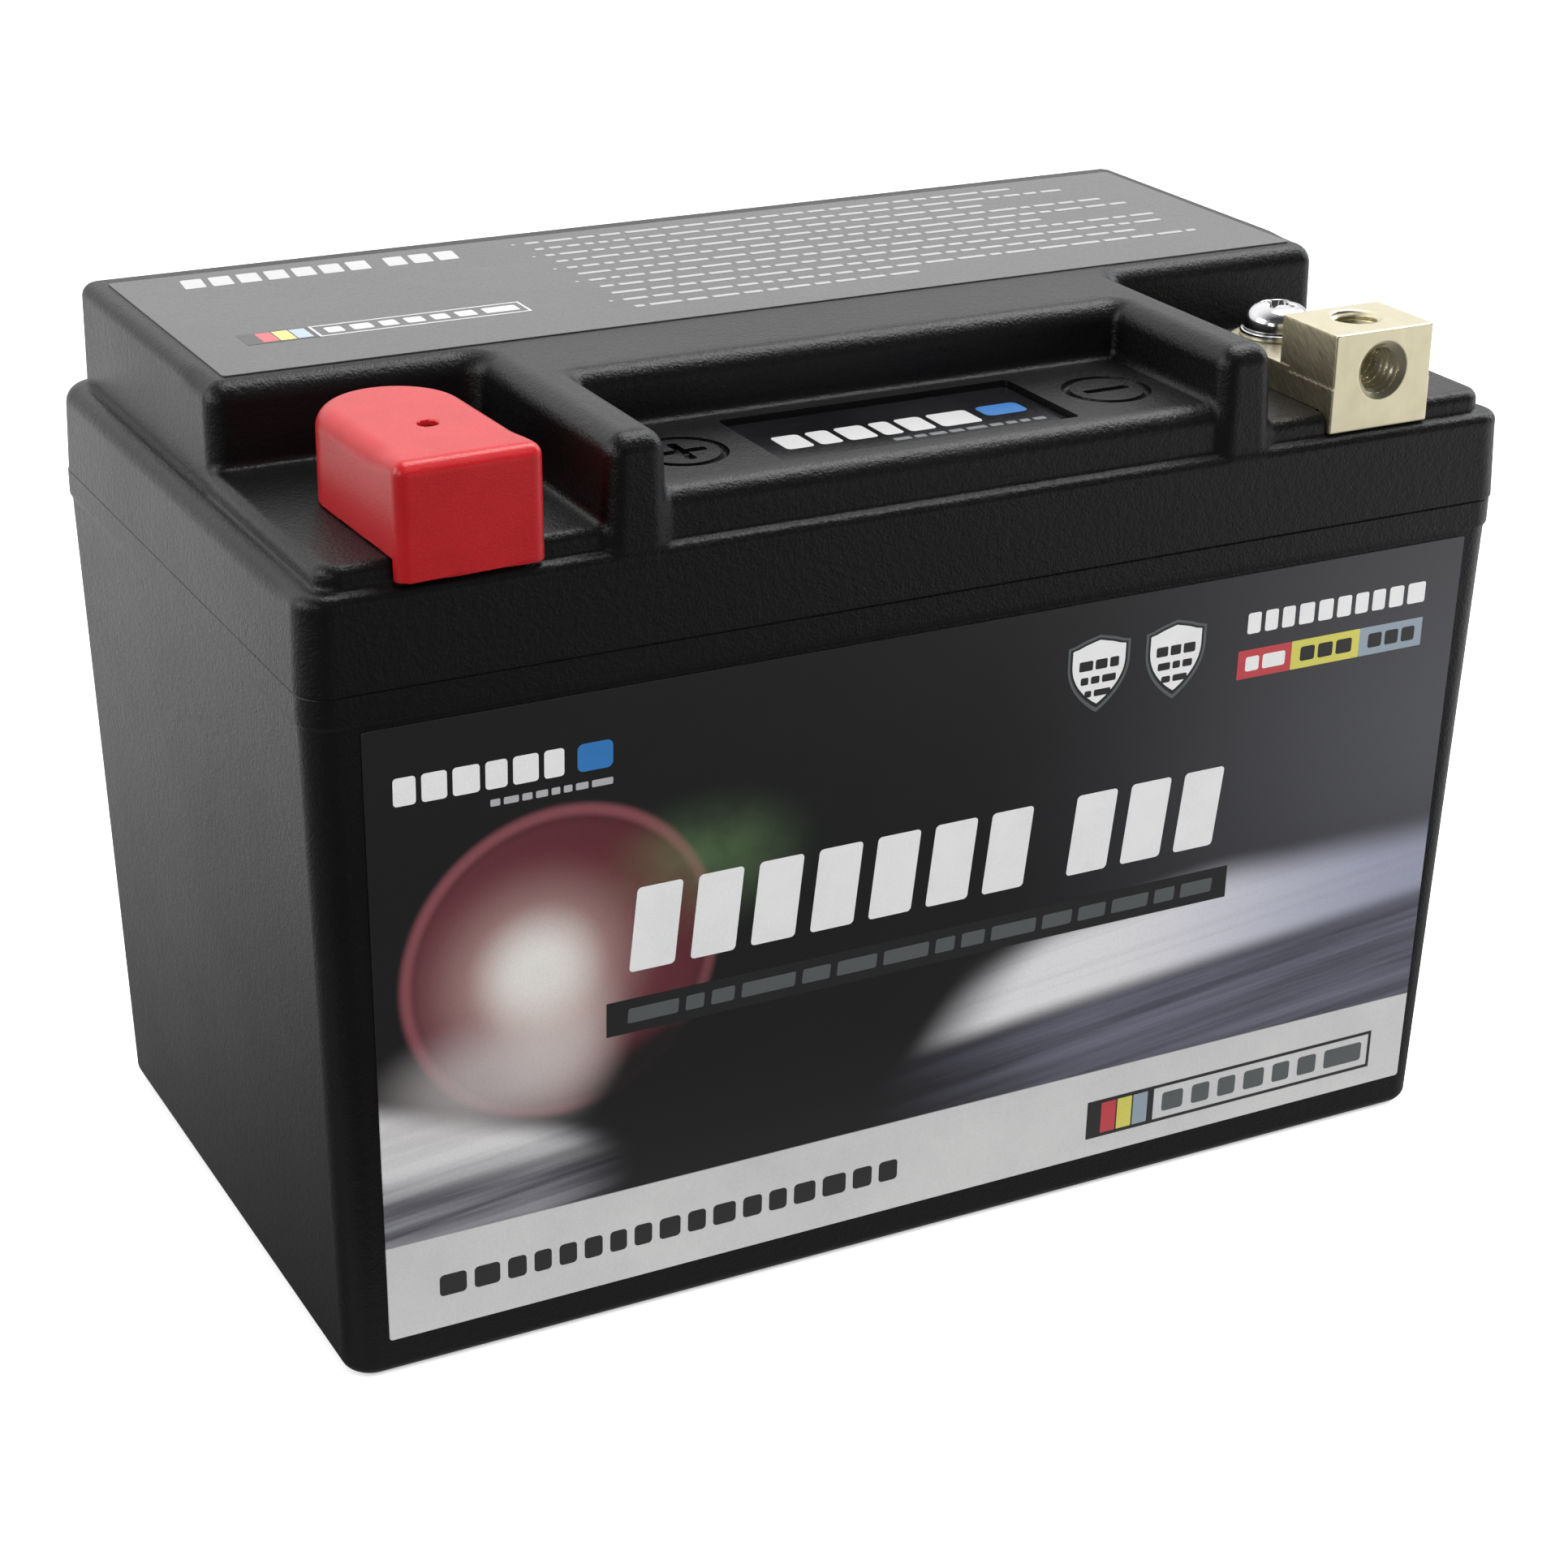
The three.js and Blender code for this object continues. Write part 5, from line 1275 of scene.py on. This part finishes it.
floor_n = Nodes("floor")
speck = floor_n.noise(40.0, 3.0, 0.5)
floor_n.color(floor_n.mix(speck, (0.90, 0.90, 0.90), (0.93, 0.93, 0.93)))
floor_n.set(rough=0.85, spec=0.2)
floor_n.b.inputs["Emission Color"].default_value = (1, 1, 1, 1)
floor_n.b.inputs["Emission Strength"].default_value = 0.42
fx, fy, fz = floor_n.xyz()
# what the object mirrors of the floor: bright behind and to the right, dark in front
glow = floor_n.math("ADD", floor_n.remap(fy, -0.07, 0.28, 0.05, 1.15, smooth=True),
                    floor_n.math("MULTIPLY", floor_n.remap(fx, 0.06, 0.30, 0.0, 1.25, smooth=True), floor_n.remap(fy, -0.03, 0.10, 1.0, 0.0, smooth=True)))
glow = floor_n.math("ADD", glow, floor_n.math("MULTIPLY", floor_n.remap(fy, -0.090, -0.047, 0.0, 0.34, smooth=True), floor_n.remap(fy, -0.043, -0.036, 1.0, 0.0)))
bounce = floor_n.t.nodes.new("ShaderNodeEmission")
floor_n.t.links.new(glow, bounce.inputs[1])
dull = floor_n.t.nodes.new("ShaderNodeBsdfDiffuse")
dull.inputs[0].default_value = (0.05, 0.05, 0.05, 1)
both_ = floor_n.t.nodes.new("ShaderNodeAddShader")
floor_n.t.links.new(bounce.outputs[0], both_.inputs[0])
floor_n.t.links.new(dull.outputs[0], both_.inputs[1])
flp = floor_n.t.nodes.new("ShaderNodeLightPath")
fms = floor_n.t.nodes.new("ShaderNodeMixShader")
floor_n.t.links.new(flp.outputs["Is Camera Ray"], fms.inputs[0])
floor_n.t.links.new(both_.outputs[0], fms.inputs[1])
floor_n.t.links.new(floor_n.b.outputs[0], fms.inputs[2])
floor_n.t.links.new(fms.outputs[0], floor_n.out.inputs[0])
floor = finish_mesh("floor", [(-6000, -6000, -0.4), (6000, -6000, -0.4), (6000, 6000, -0.4), (-6000, 6000, -0.4)], [(0, 1, 2, 3)])
floor.data.materials.append(floor_n.mat)

bpy.context.scene.view_settings.view_transform = "Standard"
bpy.context.scene.view_settings.look = "None"
